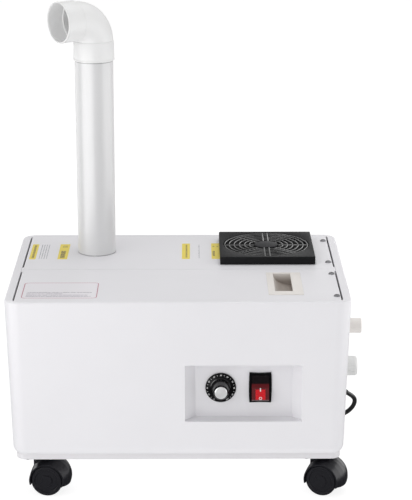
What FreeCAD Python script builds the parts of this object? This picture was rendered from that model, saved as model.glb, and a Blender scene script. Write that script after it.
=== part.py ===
"""Ultrasonic cool mist humidifier on casters, with its mist pipe.

Millimetres, X to the right, Y to the back, +Z up. The origin is on the floor,
under the middle of the body.
"""
import FreeCAD, Part
import math
import os
from FreeCAD import Placement, Rotation, Vector

# ---------------------------------------------------------------- driving dimensions
# body
BODY_TOP_WIDTH = 430.0
BODY_BOTTOM_WIDTH = 417.0
BODY_DEPTH = 310.0
BODY_BOTTOM = 61.0
BODY_TOP = 264.0
WALL = 4.0
CORNER_R = 18.0
SIDE_RIM = 11.0
BACK_RIM = 10.0
FRONT_RIM = 6.0
LEDGE = 12.0
GASKET = 2.0
COVER = 4.0
SEAM_Y = -13.5
SEAM_GAP = 0.5
RAIL_DEPTH = 17.0

# base board and casters
BOARD_BOTTOM = 52.0
BOARD_WIDTH = 410.0
BOARD_DEPTH = 288.0
CASTER_X = 177.0
CASTER_Y = 118.0
WHEEL_R = 20.0
WHEEL_WIDTH = 14.0
WEB_WIDTH = 10.0
CASTER_TRAIL = 11.5
HOOD_R = 22.5
HOOD_CROWN = 3.5
HOOD_SETBACK = 3.0
HOOD_LIFT = 2.2
HOOD_STEPS = 3
AXLE_R = 2.5
STEM_R = 4.0
# corner: (x side, y side, axle yaw in degrees, viewed from above)
CASTERS = {
    "front_left": (-1, -1, -8.0),
    "front_right": (1, -1, -22.5),
    "rear_left": (-1, 1, 35.0),
    "rear_right": (1, 1, 12.0),
}

# mist pipe and elbow
PIPE_X = -110.0
PIPE_Y = 72.0
PIPE_R = 25.0
PIPE_WALL = 2.0
PIPE_FOOT = 243.3
OUTLET_Z = 578.0
ELBOW_LEG = 53.5
ELBOW_BEND_R = 28.0
ELBOW_R = 25.4
SOCKET_R = 26.5
SOCKET_BEAD_R = 27.0
SOCKET_BEAD = 8.0
SOCKET_DEPTH = 22.0
MOUTH_YAW = 215.7

# fan, 120 mm frame
FAN_X = 117.0
FAN_Y = 69.0
FAN_SIZE = 120.0
FAN_DEPTH = 25.0
FAN_BORE_R = 58.0
FAN_PITCH = 105.0
FAN_HUB_R = 20.0
FAN_BLADES = 7
GUARD_SIZE = 125.0
GUARD_HEIGHT = 10.5
GUARD_RING_RADII = (22.5, 29.0, 36.0, 43.0, 49.7, 55.6)

# tank
TANK_X = 189.0
TANK_Y0 = -5.0
TANK_Y1 = 140.0
TANK_BOTTOM = 65.0
TANK_TOP = 225.0
TANK_WALL = 3.0

# control recess
RECESS_X0 = 8.4
RECESS_X1 = 154.5
RECESS_Z0 = 107.0
RECESS_Z1 = 181.5
PANEL_X0 = 21.3
PANEL_X1 = 143.2
PANEL_Y = -136.0
PANEL = 3.0
DIAL_X = 53.3
DIAL_Z = 146.1
DIAL_R = 19.2
SWITCH_X = 103.0
SWITCH_Z = 146.2
SWITCH_WIDTH = 28.8
SWITCH_HEIGHT = 40.0
ROCKER_WIDTH = 21.6
ROCKER_R = 16.8
ROCKER_TILT = 12.0
ROCKER_AXIS_Y = PANEL_Y - 1.0

# right-hand wall fittings
INLET_Y = 35.0
INLET_Z = 170.5
INLET_R = 10.0
INLET_END = 244.0
DRAIN_Y = 95.0
DRAIN_Z = 92.0
FITTING_END = 245.0
PAD_X = 214.0
GLAND_Y = 40.0
GLAND_Z = 76.0
GLAND_PAD_X = 211.5

# mains cord, round three-core lead
CORD_R = 3.0
GLAND_TIP = (227.0, 43.4, 71.9)
CORD_ROUTE = [
    GLAND_TIP,
    (235.5, 48.8, 65.4),
    (240.5, 56.5, 56.1),
    (239.2, 67.4, 43.1),
    (233.0, 83.0, 28.8),
    (227.3, 103.2, 17.3),
    (226.0, 125.0, 9.4),
    (226.6, 146.0, 4.8),
    (217.0, 163.5, 3.2),
    (198.0, 170.5, 3.0),
    (176.0, 170.8, 3.1),
    (154.0, 169.2, 3.0),
]
COIL_X = 138.0
COIL_Y = 208.0
COIL_MEAN_R = 33.0
COIL_BAND = 18.0
COIL_HEIGHT = 12.0
TAIL_ROUTE = [
    (120.0, 170.4, 9.0),
    (104.0, 167.4, 8.4),
    (88.0, 167.0, 7.4),
    (73.0, 169.0, 7.0),
]
PLUG_YAW = 172.4

os.makedirs("parts", exist_ok=True)


# ---------------------------------------------------------------- general shapes
def save(name, *solids):
    """Write one sub-part, as one solid or a group of separate ones."""
    shape = solids[0] if len(solids) == 1 else Part.makeCompound(list(solids))
    broken = [s for s in shape.Solids if not s.isValid() or s.Volume <= 0]
    shape.exportStep("parts/%s.step" % name)
    print("%-24s %2d solids %9.2f cm3 %s" % (
        name, len(shape.Solids), shape.Volume / 1000.0, "BROKEN" if broken else ""))


def box(x0, x1, y0, y1, z0, z1):
    return Part.makeBox(x1 - x0, y1 - y0, z1 - z0, Vector(x0, y0, z0))


def rod(radius, start, end):
    """Round bar between two points."""
    start = Vector(*start)
    along = Vector(*end) - start
    return Part.makeCylinder(radius, along.Length, start, along)


def sleeve(outer, inner, start, end):
    return rod(outer, start, end).cut(rod(inner, start, end))


def turned(profile, base=(0, 0, 0), axis=(0, 0, 1)):
    """Solid turned from (radius, height) points, standing on base along axis."""
    points = [Vector(r, 0, h) for r, h in profile]
    face = Part.Face(Part.makePolygon(points + points[:1]))
    solid = face.revolve(Vector(0, 0, 0), Vector(0, 0, 1), 360)
    solid.Placement = Placement(Vector(*base), Rotation(Vector(0, 0, 1), Vector(*axis)))
    return solid


def rounded_outline(x0, x1, y0, y1, z, radius):
    """Closed wire of four straight sides and four round corners."""
    lean = radius * (1 - math.sqrt(0.5))
    corners = [(x1, y0, -1, 1), (x1, y1, -1, -1), (x0, y1, 1, -1), (x0, y0, 1, 1)]
    stops = []
    for x, y, inward_x, inward_y in corners:
        across = Vector(x + inward_x * radius, y, z)
        up = Vector(x, y + inward_y * radius, z)
        middle = Vector(x + inward_x * lean, y + inward_y * lean, z)
        first, last = (across, up) if inward_x * inward_y < 0 else (up, across)
        stops.append((first, middle, last))
    edges = []
    for number, (first, middle, last) in enumerate(stops):
        edges.append(Part.Arc(first, middle, last).toShape())
        following = stops[(number + 1) % 4][0]
        edges.append(Part.LineSegment(last, following).toShape())
    return Part.Wire(edges)


def rounded_box(x0, x1, y0, y1, z0, z1, radius):
    outline = Part.Face(rounded_outline(x0, x1, y0, y1, z0, radius))
    return outline.extrude(Vector(0, 0, z1 - z0))


def slab(points, x0, x1):
    """Plate of a (y, z) outline, from x0 to x1."""
    corners = [Vector(x0, y, z) for y, z in points]
    face = Part.Face(Part.makePolygon(corners + corners[:1]))
    return face.extrude(Vector(x1 - x0, 0, 0))


def fuse(first, *others):
    return first.fuse(list(others)).removeSplitter()


def cut(first, *others):
    return first.cut(list(others))


def grid(x_mid, y_mid, x_pitch, y_pitch):
    """Four points, on a rectangle about a middle."""
    return [(x_mid + i * x_pitch / 2, y_mid + j * y_pitch / 2) for i in (-1, 1) for j in (-1, 1)]


# ---------------------------------------------------------------- body
def side_x(z):
    """Half-width of the drafted body at a height."""
    rise = (z - BODY_BOTTOM) / (BODY_TOP - BODY_BOTTOM)
    return (BODY_BOTTOM_WIDTH + rise * (BODY_TOP_WIDTH - BODY_BOTTOM_WIDTH)) / 2


def drafted_block(inset, z0, z1):
    """The body's outside, set in by a wall, between two heights."""
    outlines = []
    for z in (z0, z1):
        half = side_x(z) - inset
        depth = BODY_DEPTH / 2 - inset
        outlines.append(rounded_outline(-half, half, -depth, depth, z, CORNER_R - inset))
    return Part.makeLoft(outlines, True, True)


def edges_at(shape, z):
    """Edges that lie flat at a height."""
    return [e for e in shape.Edges
            if abs(e.BoundBox.ZMin - z) < 0.01 and abs(e.BoundBox.ZMax - z) < 0.01]


COVER_X = BODY_TOP_WIDTH / 2 - SIDE_RIM
COVER_Y0 = -BODY_DEPTH / 2 + FRONT_RIM
COVER_Y1 = BODY_DEPTH / 2 - BACK_RIM
COVER_BOTTOM = BODY_TOP - COVER
GASKET_BOTTOM = COVER_BOTTOM - GASKET
REBATE_GAP = 0.3
LEDGE_X = COVER_X - LEDGE
LEDGE_Y0 = COVER_Y0 + 8.0
LEDGE_Y1 = COVER_Y1 - 8.0
RAIL_Y0 = SEAM_Y - RAIL_DEPTH / 2
RAIL_Y1 = SEAM_Y + RAIL_DEPTH / 2

SCREW_PLACES = {
    "rear": ((197.0, 120.0), (197.0, 17.0)),
    "front": ((197.5, -36.0), (197.5, -131.0)),
}
SCREW_R = 2.0
SCREW_GAP = 0.3


def wall_pad(y, z, radius, outer_x, hole_r):
    """Flat-ended boss through the drafted right wall, and its hole."""
    boss = rod(radius, (203.0, y, z), (outer_x, y, z))
    return boss, rod(hole_r, (195.0, y, z), (outer_x + 5, y, z))


def body_shell():
    outside = drafted_block(0.0, BODY_BOTTOM, BODY_TOP)
    outside = outside.makeFillet(10.0, edges_at(outside, BODY_BOTTOM))
    outside = outside.makeFillet(2.5, edges_at(outside, BODY_TOP))
    shell = outside.cut(drafted_block(WALL, BODY_BOTTOM + WALL, GASKET_BOTTOM - WALL))
    rebate = rounded_box(-COVER_X - REBATE_GAP, COVER_X + REBATE_GAP, COVER_Y0 - REBATE_GAP,
                         COVER_Y1 + REBATE_GAP, GASKET_BOTTOM, BODY_TOP + 5, 6.0)
    opening = rounded_box(-LEDGE_X, LEDGE_X, LEDGE_Y0, LEDGE_Y1,
                          GASKET_BOTTOM - 10, GASKET_BOTTOM + 1, 4.0)
    rail = box(-LEDGE_X - 2, LEDGE_X + 2, RAIL_Y0, RAIL_Y1, GASKET_BOTTOM - 10, GASKET_BOTTOM)
    recess = box(RECESS_X0, RECESS_X1, -BODY_DEPTH / 2 - 1, -BODY_DEPTH / 2 + WALL + 1,
                 RECESS_Z0, RECESS_Z1)
    shell = shell.cut([rebate, opening, recess]).fuse(rail)
    pads = [
        wall_pad(INLET_Y, INLET_Z, 17.0, PAD_X, 10.2),
        wall_pad(DRAIN_Y, DRAIN_Z, 17.0, PAD_X, 10.2),
        wall_pad(GLAND_Y, GLAND_Z, 9.0, GLAND_PAD_X, 4.8),
    ]
    shell = shell.fuse([pad for pad, hole in pads])
    holes = [hole for pad, hole in pads]
    for places in SCREW_PLACES.values():
        for x, y in places:
            holes.append(rod(SCREW_R + SCREW_GAP, (x, y, 230), (x, y, 270)))
    for x, y in BOARD_SCREWS:
        holes.append(rod(SCREW_R + 0.05, (x, y, 50), (x, y, BODY_BOTTOM + WALL)))
    return cut(shell, *holes)


BOARD_SCREWS = [(x, y) for x in (-120.0, 0.0, 120.0) for y in (-125.0, 125.0)]
PLATE_SIZE = 38.0
PLATE = 2.5
PLATE_HOLE_PITCH = 29.0
PLATE_SCREW_R = 1.6


def caster_centres():
    return {name: (x * CASTER_X, y * CASTER_Y) for name, (x, y, yaw) in CASTERS.items()}


def plate_screw_places():
    return [place for x, y in caster_centres().values()
            for place in grid(x, y, PLATE_HOLE_PITCH, PLATE_HOLE_PITCH)]


def base_board():
    board = rounded_box(-BOARD_WIDTH / 2, BOARD_WIDTH / 2, -BOARD_DEPTH / 2, BOARD_DEPTH / 2,
                        BOARD_BOTTOM, BODY_BOTTOM, 12.0)
    board = board.makeFillet(1.5, edges_at(board, BOARD_BOTTOM))
    holes = [rod(7.2, (x, y, 50), (x, y, 70)) for x, y in caster_centres().values()]
    holes += [rod(SCREW_R + 0.05, (x, y, 50), (x, y, 70)) for x, y in BOARD_SCREWS]
    holes += [rod(PLATE_SCREW_R + 0.05, (x, y, 50), (x, y, 58)) for x, y in plate_screw_places()]
    return cut(board, *holes)


def pan_screw(x, y, head_z, length, shank_r, head_r, up=1):
    """Pan-head screw with a cross slot; the head's flat is at head_z."""
    head_h = head_r * 0.55
    profile = [(0, -length), (shank_r, -length), (shank_r, 0), (head_r, 0), (head_r, head_h * 0.35),
               (head_r * 0.72, head_h * 0.85), (head_r * 0.4, head_h), (0, head_h)]
    screw = turned(profile, (x, y, head_z), (0, 0, up))
    reach = head_r * 0.55
    for long_x, long_y in ((reach, 0.4), (0.4, reach)):
        low, high = sorted((head_z + up * head_h * 0.4, head_z + up * (head_h + 1)))
        screw = screw.cut(box(x - long_x, x + long_x, y - long_y, y + long_y, low, high))
    return screw


def base_screws():
    board = [pan_screw(x, y, BOARD_BOTTOM, BODY_BOTTOM + WALL - BOARD_BOTTOM - 0.5, SCREW_R, 4.0, -1)
             for x, y in BOARD_SCREWS]
    plates = [pan_screw(x, y, BOARD_BOTTOM - PLATE, 7.5, PLATE_SCREW_R, 3.0, -1)
              for x, y in plate_screw_places()]
    return board + plates


# ---------------------------------------------------------------- covers
SLOT = 2.0
FRONT_SLOT = (-151.0, -23.0)
REAR_SLOT = (-4.0, 143.0)
PULL_X0 = 113.0
PULL_X1 = 157.0
PULL_Y0 = -126.0
PULL_Y1 = -31.0
PULL_FLANGE = 0.8
PULL_INSET = 2.2
FAN_PORT_R = 57.0


def cover_plate(y0, y1, slot, screws):
    """Flush plate, notched along both sides, with screw holes on the right."""
    corner = 5.0
    plate = rounded_box(-COVER_X, COVER_X, y0, y1, COVER_BOTTOM, BODY_TOP, corner)
    square_y0, square_y1 = (y1 - 10, y1) if y0 < -100 else (y0, y0 + 10)
    plate = fuse(plate, box(-COVER_X, COVER_X, square_y0, square_y1, COVER_BOTTOM, BODY_TOP))
    notches = [box(side * (COVER_X - SLOT / 2) - SLOT / 2 - (5 if side < 0 else 0),
                   side * (COVER_X - SLOT / 2) + SLOT / 2 + (5 if side > 0 else 0),
                   slot[0], slot[1], COVER_BOTTOM - 1, BODY_TOP + 1) for side in (-1, 1)]
    holes = [rod(SCREW_R + 0.05, (x, y, 250), (x, y, 270)) for x, y in screws]
    return cut(plate, *notches, *holes)


def front_cover():
    plate = cover_plate(COVER_Y0, SEAM_Y - SEAM_GAP / 2, FRONT_SLOT, SCREW_PLACES["front"])
    well = box(PULL_X0 + PULL_INSET, PULL_X1 - PULL_INSET, PULL_Y0 + PULL_INSET,
               PULL_Y1 - PULL_INSET, 250, 270)
    return cut(plate, well)


def rear_cover():
    plate = cover_plate(SEAM_Y + SEAM_GAP / 2, COVER_Y1, REAR_SLOT, SCREW_PLACES["rear"])
    pipe_hole = rod(PIPE_R + 0.3, (PIPE_X, PIPE_Y, 250), (PIPE_X, PIPE_Y, 270))
    air_port = rod(FAN_PORT_R, (FAN_X, FAN_Y, 250), (FAN_X, FAN_Y, 270))
    bolts = [rod(SCREW_R + 0.05, (x, y, 250), (x, y, 270)) for x, y in fan_corners()]
    return cut(plate, pipe_hole, air_port, *bolts)


def cover_screws(places):
    return [pan_screw(x, y, BODY_TOP, 11.0, SCREW_R, 4.0) for x, y in places]


def cover_gasket():
    strip = rounded_box(-COVER_X, COVER_X, COVER_Y0, COVER_Y1, GASKET_BOTTOM, COVER_BOTTOM, 5.5)
    front = box(-LEDGE_X, LEDGE_X, LEDGE_Y0, RAIL_Y0, 250, 270)
    rear = box(-LEDGE_X, LEDGE_X, RAIL_Y1, LEDGE_Y1, 250, 270)
    holes = [rod(SCREW_R + SCREW_GAP, (x, y, 250), (x, y, 270))
             for places in SCREW_PLACES.values() for x, y in places]
    return cut(strip, front, rear, *holes)


def finger_pull():
    """Flush pull: a ramp runs down to the right, under a lip for the fingertips."""
    top = BODY_TOP + PULL_FLANGE
    flange = box(PULL_X0, PULL_X1, PULL_Y0, PULL_Y1, BODY_TOP, top)
    flange = flange.makeFillet(0.5, edges_at(flange, top))
    gap = 0.2
    tub = box(PULL_X0 + PULL_INSET + gap, PULL_X1 - PULL_INSET - gap, PULL_Y0 + PULL_INSET + gap,
              PULL_Y1 - PULL_INSET - gap, 247.0, BODY_TOP)
    body = fuse(flange, tub)
    left, right, deep_left, deep_right = 121.6, 144.0, 134.0, 152.0
    deep = 249.5
    lip = 262.4
    outline = [(left, top + 1), (left, top - 0.4), (deep_left, deep), (deep_right, deep),
               (deep_right, lip), (right, lip), (right, top + 1)]
    corners = [Vector(x, PULL_Y0 + 14.0, z) for x, z in outline]
    hollow = Part.Face(Part.makePolygon(corners + corners[:1])).extrude(Vector(0, 76.0, 0))
    corner = [Vector(x, PULL_Y0, z) for x, z in
              ((PULL_X0, 246), (131.5, 246), (PULL_X0 + PULL_INSET + gap, 261.5), (PULL_X0, 261.5))]
    bevel = Part.Face(Part.makePolygon(corner + corner[:1])).extrude(Vector(0, 95.0, 0))
    return cut(body, hollow, bevel)


# ---------------------------------------------------------------- mist outlet
def outlet_collar():
    top = COVER_BOTTOM
    return turned([(22.5, top - 20), (29.0, top - 20), (29.0, top - 3), (34.0, top - 3), (34.0, top),
                   (PIPE_R + 0.1, top), (PIPE_R + 0.1, top - 17), (22.5, top - 17)],
                  (PIPE_X, PIPE_Y, 0))


PIPE_TOP = OUTLET_Z - ELBOW_LEG + SOCKET_DEPTH - 0.3


def mist_pipe():
    pipe = sleeve(PIPE_R, PIPE_R - PIPE_WALL, (PIPE_X, PIPE_Y, PIPE_FOOT),
                  (PIPE_X, PIPE_Y, PIPE_TOP))
    return pipe


def quarter_bend(outer, inner):
    """Round tube bent through 90 degrees, from straight up to straight along +X."""
    start = Vector(0, 0, -ELBOW_BEND_R)
    rings = [Part.Wire(Part.Circle(start, Vector(0, 0, 1), r).toShape()) for r in (outer, inner)]
    section = Part.Face(rings[0]).cut(Part.Face(rings[1])).Faces[0]
    return section.revolve(Vector(ELBOW_BEND_R, 0, -ELBOW_BEND_R), Vector(0, 1, 0), 90)


def elbow_socket(along):
    """Socket with a bead at its mouth, on the leg that runs from the corner along a direction."""
    bore = PIPE_R - PIPE_WALL
    cup = PIPE_R + 0.1
    bead = ELBOW_LEG - SOCKET_BEAD
    floor = ELBOW_LEG - SOCKET_DEPTH
    return turned([(bore, ELBOW_BEND_R), (SOCKET_R, ELBOW_BEND_R), (SOCKET_R, bead),
                   (SOCKET_BEAD_R, bead), (SOCKET_BEAD_R, ELBOW_LEG), (cup, ELBOW_LEG),
                   (cup, floor), (bore, floor)], (0, 0, 0), along)


def mist_elbow():
    """Tight 90 degree elbow with a socket at each end."""
    bend = quarter_bend(ELBOW_R, PIPE_R - PIPE_WALL)
    elbow = bend.fuse([elbow_socket((0, 0, -1)), elbow_socket((1, 0, 0))])
    elbow.Placement = Placement(Vector(PIPE_X, PIPE_Y, OUTLET_Z),
                                Rotation(Vector(0, 0, 1), MOUTH_YAW))
    return elbow


# ---------------------------------------------------------------- fan
def fan_corners():
    return grid(FAN_X, FAN_Y, FAN_PITCH, FAN_PITCH)


FAN_TOP = COVER_BOTTOM
FAN_BOTTOM = FAN_TOP - FAN_DEPTH


def fan_frame():
    half = FAN_SIZE / 2
    block = rounded_box(FAN_X - half, FAN_X + half, FAN_Y - half, FAN_Y + half,
                        FAN_BOTTOM, FAN_TOP, 6.0)
    bore = rod(FAN_BORE_R, (FAN_X, FAN_Y, FAN_BOTTOM - 1), (FAN_X, FAN_Y, FAN_TOP + 1))
    waist = [rod(9.0, (x, y, FAN_BOTTOM + 4), (x, y, FAN_TOP - 4)) for x, y in fan_corners()]
    sides = rod(FAN_BORE_R + 3.0, (FAN_X, FAN_Y, FAN_BOTTOM), (FAN_X, FAN_Y, FAN_TOP))
    frame = block.cut(fuse(waist[0], *waist[1:]).cut(sides)).cut(bore)
    hub = rod(FAN_HUB_R, (FAN_X, FAN_Y, FAN_BOTTOM), (FAN_X, FAN_Y, FAN_BOTTOM + 5))
    struts = []
    for number in range(4):
        strut = box(FAN_HUB_R - 2, FAN_BORE_R + 1, -2, 2, FAN_BOTTOM, FAN_BOTTOM + 4)
        strut.Placement = Placement(Vector(FAN_X, FAN_Y, 0),
                                    Rotation(Vector(0, 0, 1), 45 + 90 * number))
        struts.append(strut)
    frame = fuse(frame, hub, *struts)
    bearing = rod(1.6, (FAN_X, FAN_Y, FAN_BOTTOM - 1), (FAN_X, FAN_Y, FAN_BOTTOM + 6))
    bolts = [rod(SCREW_R + 0.1, (x, y, FAN_BOTTOM - 1), (x, y, FAN_TOP + 1))
             for x, y in fan_corners()]
    return cut(frame, bearing, *bolts)


def fan_rotor():
    low = FAN_BOTTOM + 5.6
    high = FAN_TOP - 1.5
    hub = turned([(0, 0), (FAN_HUB_R, 0), (FAN_HUB_R, high - low - 1.5),
                  (FAN_HUB_R - 1.5, high - low), (0, high - low)], (FAN_X, FAN_Y, low))
    shaft = rod(1.5, (FAN_X, FAN_Y, FAN_BOTTOM + 0.5), (FAN_X, FAN_Y, low + 1))
    blades = []
    sweep = rod(FAN_BORE_R - 3.0, (0, 0, -20), (0, 0, 20)).cut(
        rod(FAN_HUB_R - 1.0, (0, 0, -20), (0, 0, 20)))
    slice_height = box(-60, 60, -60, 60, -7.6, 7.6)
    for number in range(FAN_BLADES):
        blade = box(FAN_HUB_R - 2, FAN_BORE_R, -14, 14, -0.9, 0.9)
        blade.rotate(Vector(0, 0, 0), Vector(1, 0, 0), 38)
        blade = blade.common(sweep).common(slice_height)
        blade.Placement = Placement(Vector(FAN_X, FAN_Y, (low + high) / 2),
                                    Rotation(Vector(0, 0, 1), number * 360.0 / FAN_BLADES))
        blades.append(blade)
    return fuse(hub, shaft, *blades)


def fan_guard_base():
    half = FAN_SIZE / 2 - 1
    plate = rounded_box(FAN_X - half, FAN_X + half, FAN_Y - half, FAN_Y + half,
                        BODY_TOP, BODY_TOP + 3, 4.0)
    port = rod(FAN_PORT_R, (FAN_X, FAN_Y, BODY_TOP - 1), (FAN_X, FAN_Y, BODY_TOP + 4))
    cross = [box(FAN_X - 58, FAN_X + 58, FAN_Y - 1.2, FAN_Y + 1.2, BODY_TOP, BODY_TOP + 2),
             box(FAN_X - 1.2, FAN_X + 1.2, FAN_Y - 58, FAN_Y + 58, BODY_TOP, BODY_TOP + 2)]
    bolts = [rod(SCREW_R + 0.05, (x, y, 260), (x, y, 270)) for x, y in fan_corners()]
    sinks = [rod(4.3, (x, y, BODY_TOP + 1), (x, y, BODY_TOP + 5)) for x, y in fan_corners()]
    return cut(fuse(plate.cut(port), *cross), *bolts, *sinks)


def fan_filter():
    half = FAN_SIZE / 2 - 4
    pad = rounded_box(FAN_X - half, FAN_X + half, FAN_Y - half, FAN_Y + half,
                      BODY_TOP + 3.2, BODY_TOP + 6.2, 6.0)
    clear = [rod(5.2, (x, y, BODY_TOP), (x, y, BODY_TOP + 9)) for x, y in fan_corners()]
    return cut(pad, *clear)


def fan_screws():
    return [pan_screw(x, y, BODY_TOP + 1, 26.0, SCREW_R, 3.8) for x, y in fan_corners()]


def fan_guard():
    """Clip-on cover: a plate on a skirt, with a hub, rings and paired ribs in its port."""
    half = GUARD_SIZE / 2
    low = BODY_TOP + 0.3
    top = BODY_TOP + GUARD_HEIGHT
    block = rounded_box(FAN_X - half, FAN_X + half, FAN_Y - half, FAN_Y + half, low, top, 2.0)
    block = block.makeFillet(1.0, edges_at(block, top))
    inner = half - 2.0
    under = box(FAN_X - inner, FAN_X + inner, FAN_Y - inner, FAN_Y + inner, low - 1, top - 2.5)
    port = rod(57.5, (FAN_X, FAN_Y, low), (FAN_X, FAN_Y, top + 1))
    skirt = cut(block, under, port)
    rings = [sleeve(radius + 0.8, radius - 0.8, (FAN_X, FAN_Y, top - 2.5), (FAN_X, FAN_Y, top - 0.3))
             for radius in GUARD_RING_RADII]
    hub = rod(15.4, (FAN_X, FAN_Y, top - 2.5), (FAN_X, FAN_Y, top))
    ribs = []
    for offset in (-3.25, 3.25):
        ribs.append(box(FAN_X + offset - 0.8, FAN_X + offset + 0.8, FAN_Y - 58.5, FAN_Y + 58.5,
                        top - 2.5, top - 0.1))
    for angle in (0, 45, 135):
        rib = box(-58.5, 58.5, -1.2, 1.2, top - 2.5, top - 1.3)
        rib.Placement = Placement(Vector(FAN_X, FAN_Y, 0), Rotation(Vector(0, 0, 1), angle))
        ribs.append(rib)
    return fuse(skirt, hub, *rings, *ribs)


# ---------------------------------------------------------------- tank and wet parts
def tank():
    outer = rounded_box(-TANK_X, TANK_X, TANK_Y0, TANK_Y1, TANK_BOTTOM, TANK_TOP, 12.0)
    inner = rounded_box(-TANK_X + TANK_WALL, TANK_X - TANK_WALL, TANK_Y0 + TANK_WALL,
                        TANK_Y1 - TANK_WALL, TANK_BOTTOM + TANK_WALL, TANK_TOP + 1, 9.0)
    holes = [rod(10.2, (170, y, z), (200, y, z)) for y, z in
             ((INLET_Y, INLET_Z), (DRAIN_Y, DRAIN_Z))]
    return cut(outer, inner, *holes)


MIST_UNIT = (-150.0, 30.0, 22.0, 112.0)
MIST_UNIT_TOP = 92.0
DISC_PLACES = [(-132.0 + 36.0 * i, 46.0 + 42.0 * j) for i in range(5) for j in range(2)]
LEVEL_X = 84.0
LEVEL_Y = 67.0


def mist_unit_base():
    x0, x1, y0, y1 = MIST_UNIT
    block = rounded_box(x0, x1, y0, y1, TANK_BOTTOM + TANK_WALL, MIST_UNIT_TOP, 6.0)
    pockets = [rod(10.5, (x, y, MIST_UNIT_TOP - 3), (x, y, MIST_UNIT_TOP + 1))
               for x, y in DISC_PLACES]
    return cut(block, *pockets)


def mist_unit_cover():
    x0, x1, y0, y1 = MIST_UNIT
    plate = rounded_box(x0, x1, y0, y1, MIST_UNIT_TOP, MIST_UNIT_TOP + 3, 6.0)
    plate = plate.makeFillet(1.0, edges_at(plate, MIST_UNIT_TOP + 3))
    windows = [turned([(0, 0), (8.5, 0), (10.5, 3.2), (0, 3.2)], (x, y, MIST_UNIT_TOP))
               for x, y in DISC_PLACES]
    return cut(plate, *windows)


def ceramic_discs():
    return [rod(10.0, (x, y, MIST_UNIT_TOP - 2.6), (x, y, MIST_UNIT_TOP - 0.4))
            for x, y in DISC_PLACES]


LEVEL_FLOAT_LOW = 100.0
LEVEL_FLOAT_TALL = 16.0
LEVEL_TRAVEL = 12.0


def level_stem():
    """Guide rod on a foot, with a stop above and below the float."""
    floor = TANK_BOTTOM + TANK_WALL
    profile = [(0, floor), (9, floor), (9, floor + 4), (3, floor + 7), (3, LEVEL_FLOAT_LOW - 3),
               (5.5, LEVEL_FLOAT_LOW - 3), (5.5, LEVEL_FLOAT_LOW - 0.3), (2.5, LEVEL_FLOAT_LOW - 0.3)]
    stop = LEVEL_FLOAT_LOW + LEVEL_FLOAT_TALL + LEVEL_TRAVEL + 0.3
    profile += [(2.5, stop), (5.5, stop), (5.5, stop + 2), (0, stop + 2)]
    return turned(profile, (LEVEL_X, LEVEL_Y, 0))


def level_float():
    tall = LEVEL_FLOAT_TALL
    return turned([(2.9, 0), (8, 0), (9.5, 2), (9.5, tall - 2), (8, tall), (2.9, tall)],
                  (LEVEL_X, LEVEL_Y, LEVEL_FLOAT_LOW))


FLOAT_PIVOT_X = 163.0
FLOAT_PIVOT_Z = 160.0
FLOAT_ARM = 56.0
FLOAT_HANG = 35.0
FLOAT_BALL_R = 19.0


def inlet_stem():
    """Water inlet: a hose stub outside, a flange on the pad, the valve fork inside the tank."""
    centre = (0, INLET_Y, INLET_Z)
    stem = turned([(7.0, 176.0), (INLET_R, 176.0), (INLET_R, PAD_X), (15.0, PAD_X),
                   (15.0, PAD_X + 4), (INLET_R, PAD_X + 4), (INLET_R, INLET_END - 0.8),
                   (INLET_R - 0.8, INLET_END), (7.0, INLET_END)], centre, (1, 0, 0))
    seat = turned([(1.5, 170.0), (9.0, 170.0), (9.0, 177.0), (1.5, 177.0)], centre, (1, 0, 0))
    low = FLOAT_PIVOT_Z
    ears = []
    for side in (-1, 1):
        y0 = INLET_Y + side * 5.0 - 1.5
        ear = slab([(y0, low - 5), (y0 + 3, low - 5), (y0 + 3, INLET_Z + 4), (y0, INLET_Z + 4)],
                   FLOAT_PIVOT_X - 5, 172.0)
        ears.append(ear)
    fork = fuse(stem, seat, *ears)
    pin_hole = rod(2.1, (FLOAT_PIVOT_X, INLET_Y - 10, low), (FLOAT_PIVOT_X, INLET_Y + 10, low))
    return cut(fork, pin_hole)


def locknut(y, z):
    """Six-sided nut inside the tank wall."""
    face_x = TANK_X - TANK_WALL
    corners = [Vector(face_x, y + 15.5 * math.cos(math.radians(60 * k)),
                      z + 15.5 * math.sin(math.radians(60 * k))) for k in range(7)]
    nut = Part.Face(Part.makePolygon(corners)).extrude(Vector(-7.0, 0, 0))
    return nut.cut(rod(10.05, (face_x - 8, y, z), (face_x + 1, y, z)))


def float_arm():
    """Arm that hangs from the valve fork, with its pin and the eye round it."""
    pivot = Vector(FLOAT_PIVOT_X, INLET_Y, FLOAT_PIVOT_Z)
    pin = rod(2.0, (pivot.x, INLET_Y - 6.4, pivot.z), (pivot.x, INLET_Y + 6.4, pivot.z))
    eye = rod(4.0, (pivot.x, INLET_Y - 3.0, pivot.z), (pivot.x, INLET_Y + 3.0, pivot.z))
    hang = math.radians(FLOAT_HANG)
    way = Vector(-math.cos(hang), 0, -math.sin(hang))
    end = pivot + way * FLOAT_ARM
    return fuse(eye, pin, rod(1.8, tuple(pivot), tuple(end)))


def float_ball():
    pivot = Vector(FLOAT_PIVOT_X, INLET_Y, FLOAT_PIVOT_Z)
    hang = math.radians(FLOAT_HANG)
    way = Vector(-math.cos(hang), 0, -math.sin(hang))
    return Part.makeSphere(FLOAT_BALL_R, pivot + way * (FLOAT_ARM + FLOAT_BALL_R))


DRAIN_CAP_R = 13.5


def drain_spout():
    centre = (0, DRAIN_Y, DRAIN_Z)
    return turned([(6.5, 176.0), (10.0, 176.0), (10.0, PAD_X), (14.5, PAD_X), (14.5, PAD_X + 3.5),
                   (10.0, PAD_X + 3.5), (10.0, 236.0), (6.5, 236.0)], centre, (1, 0, 0))


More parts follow.
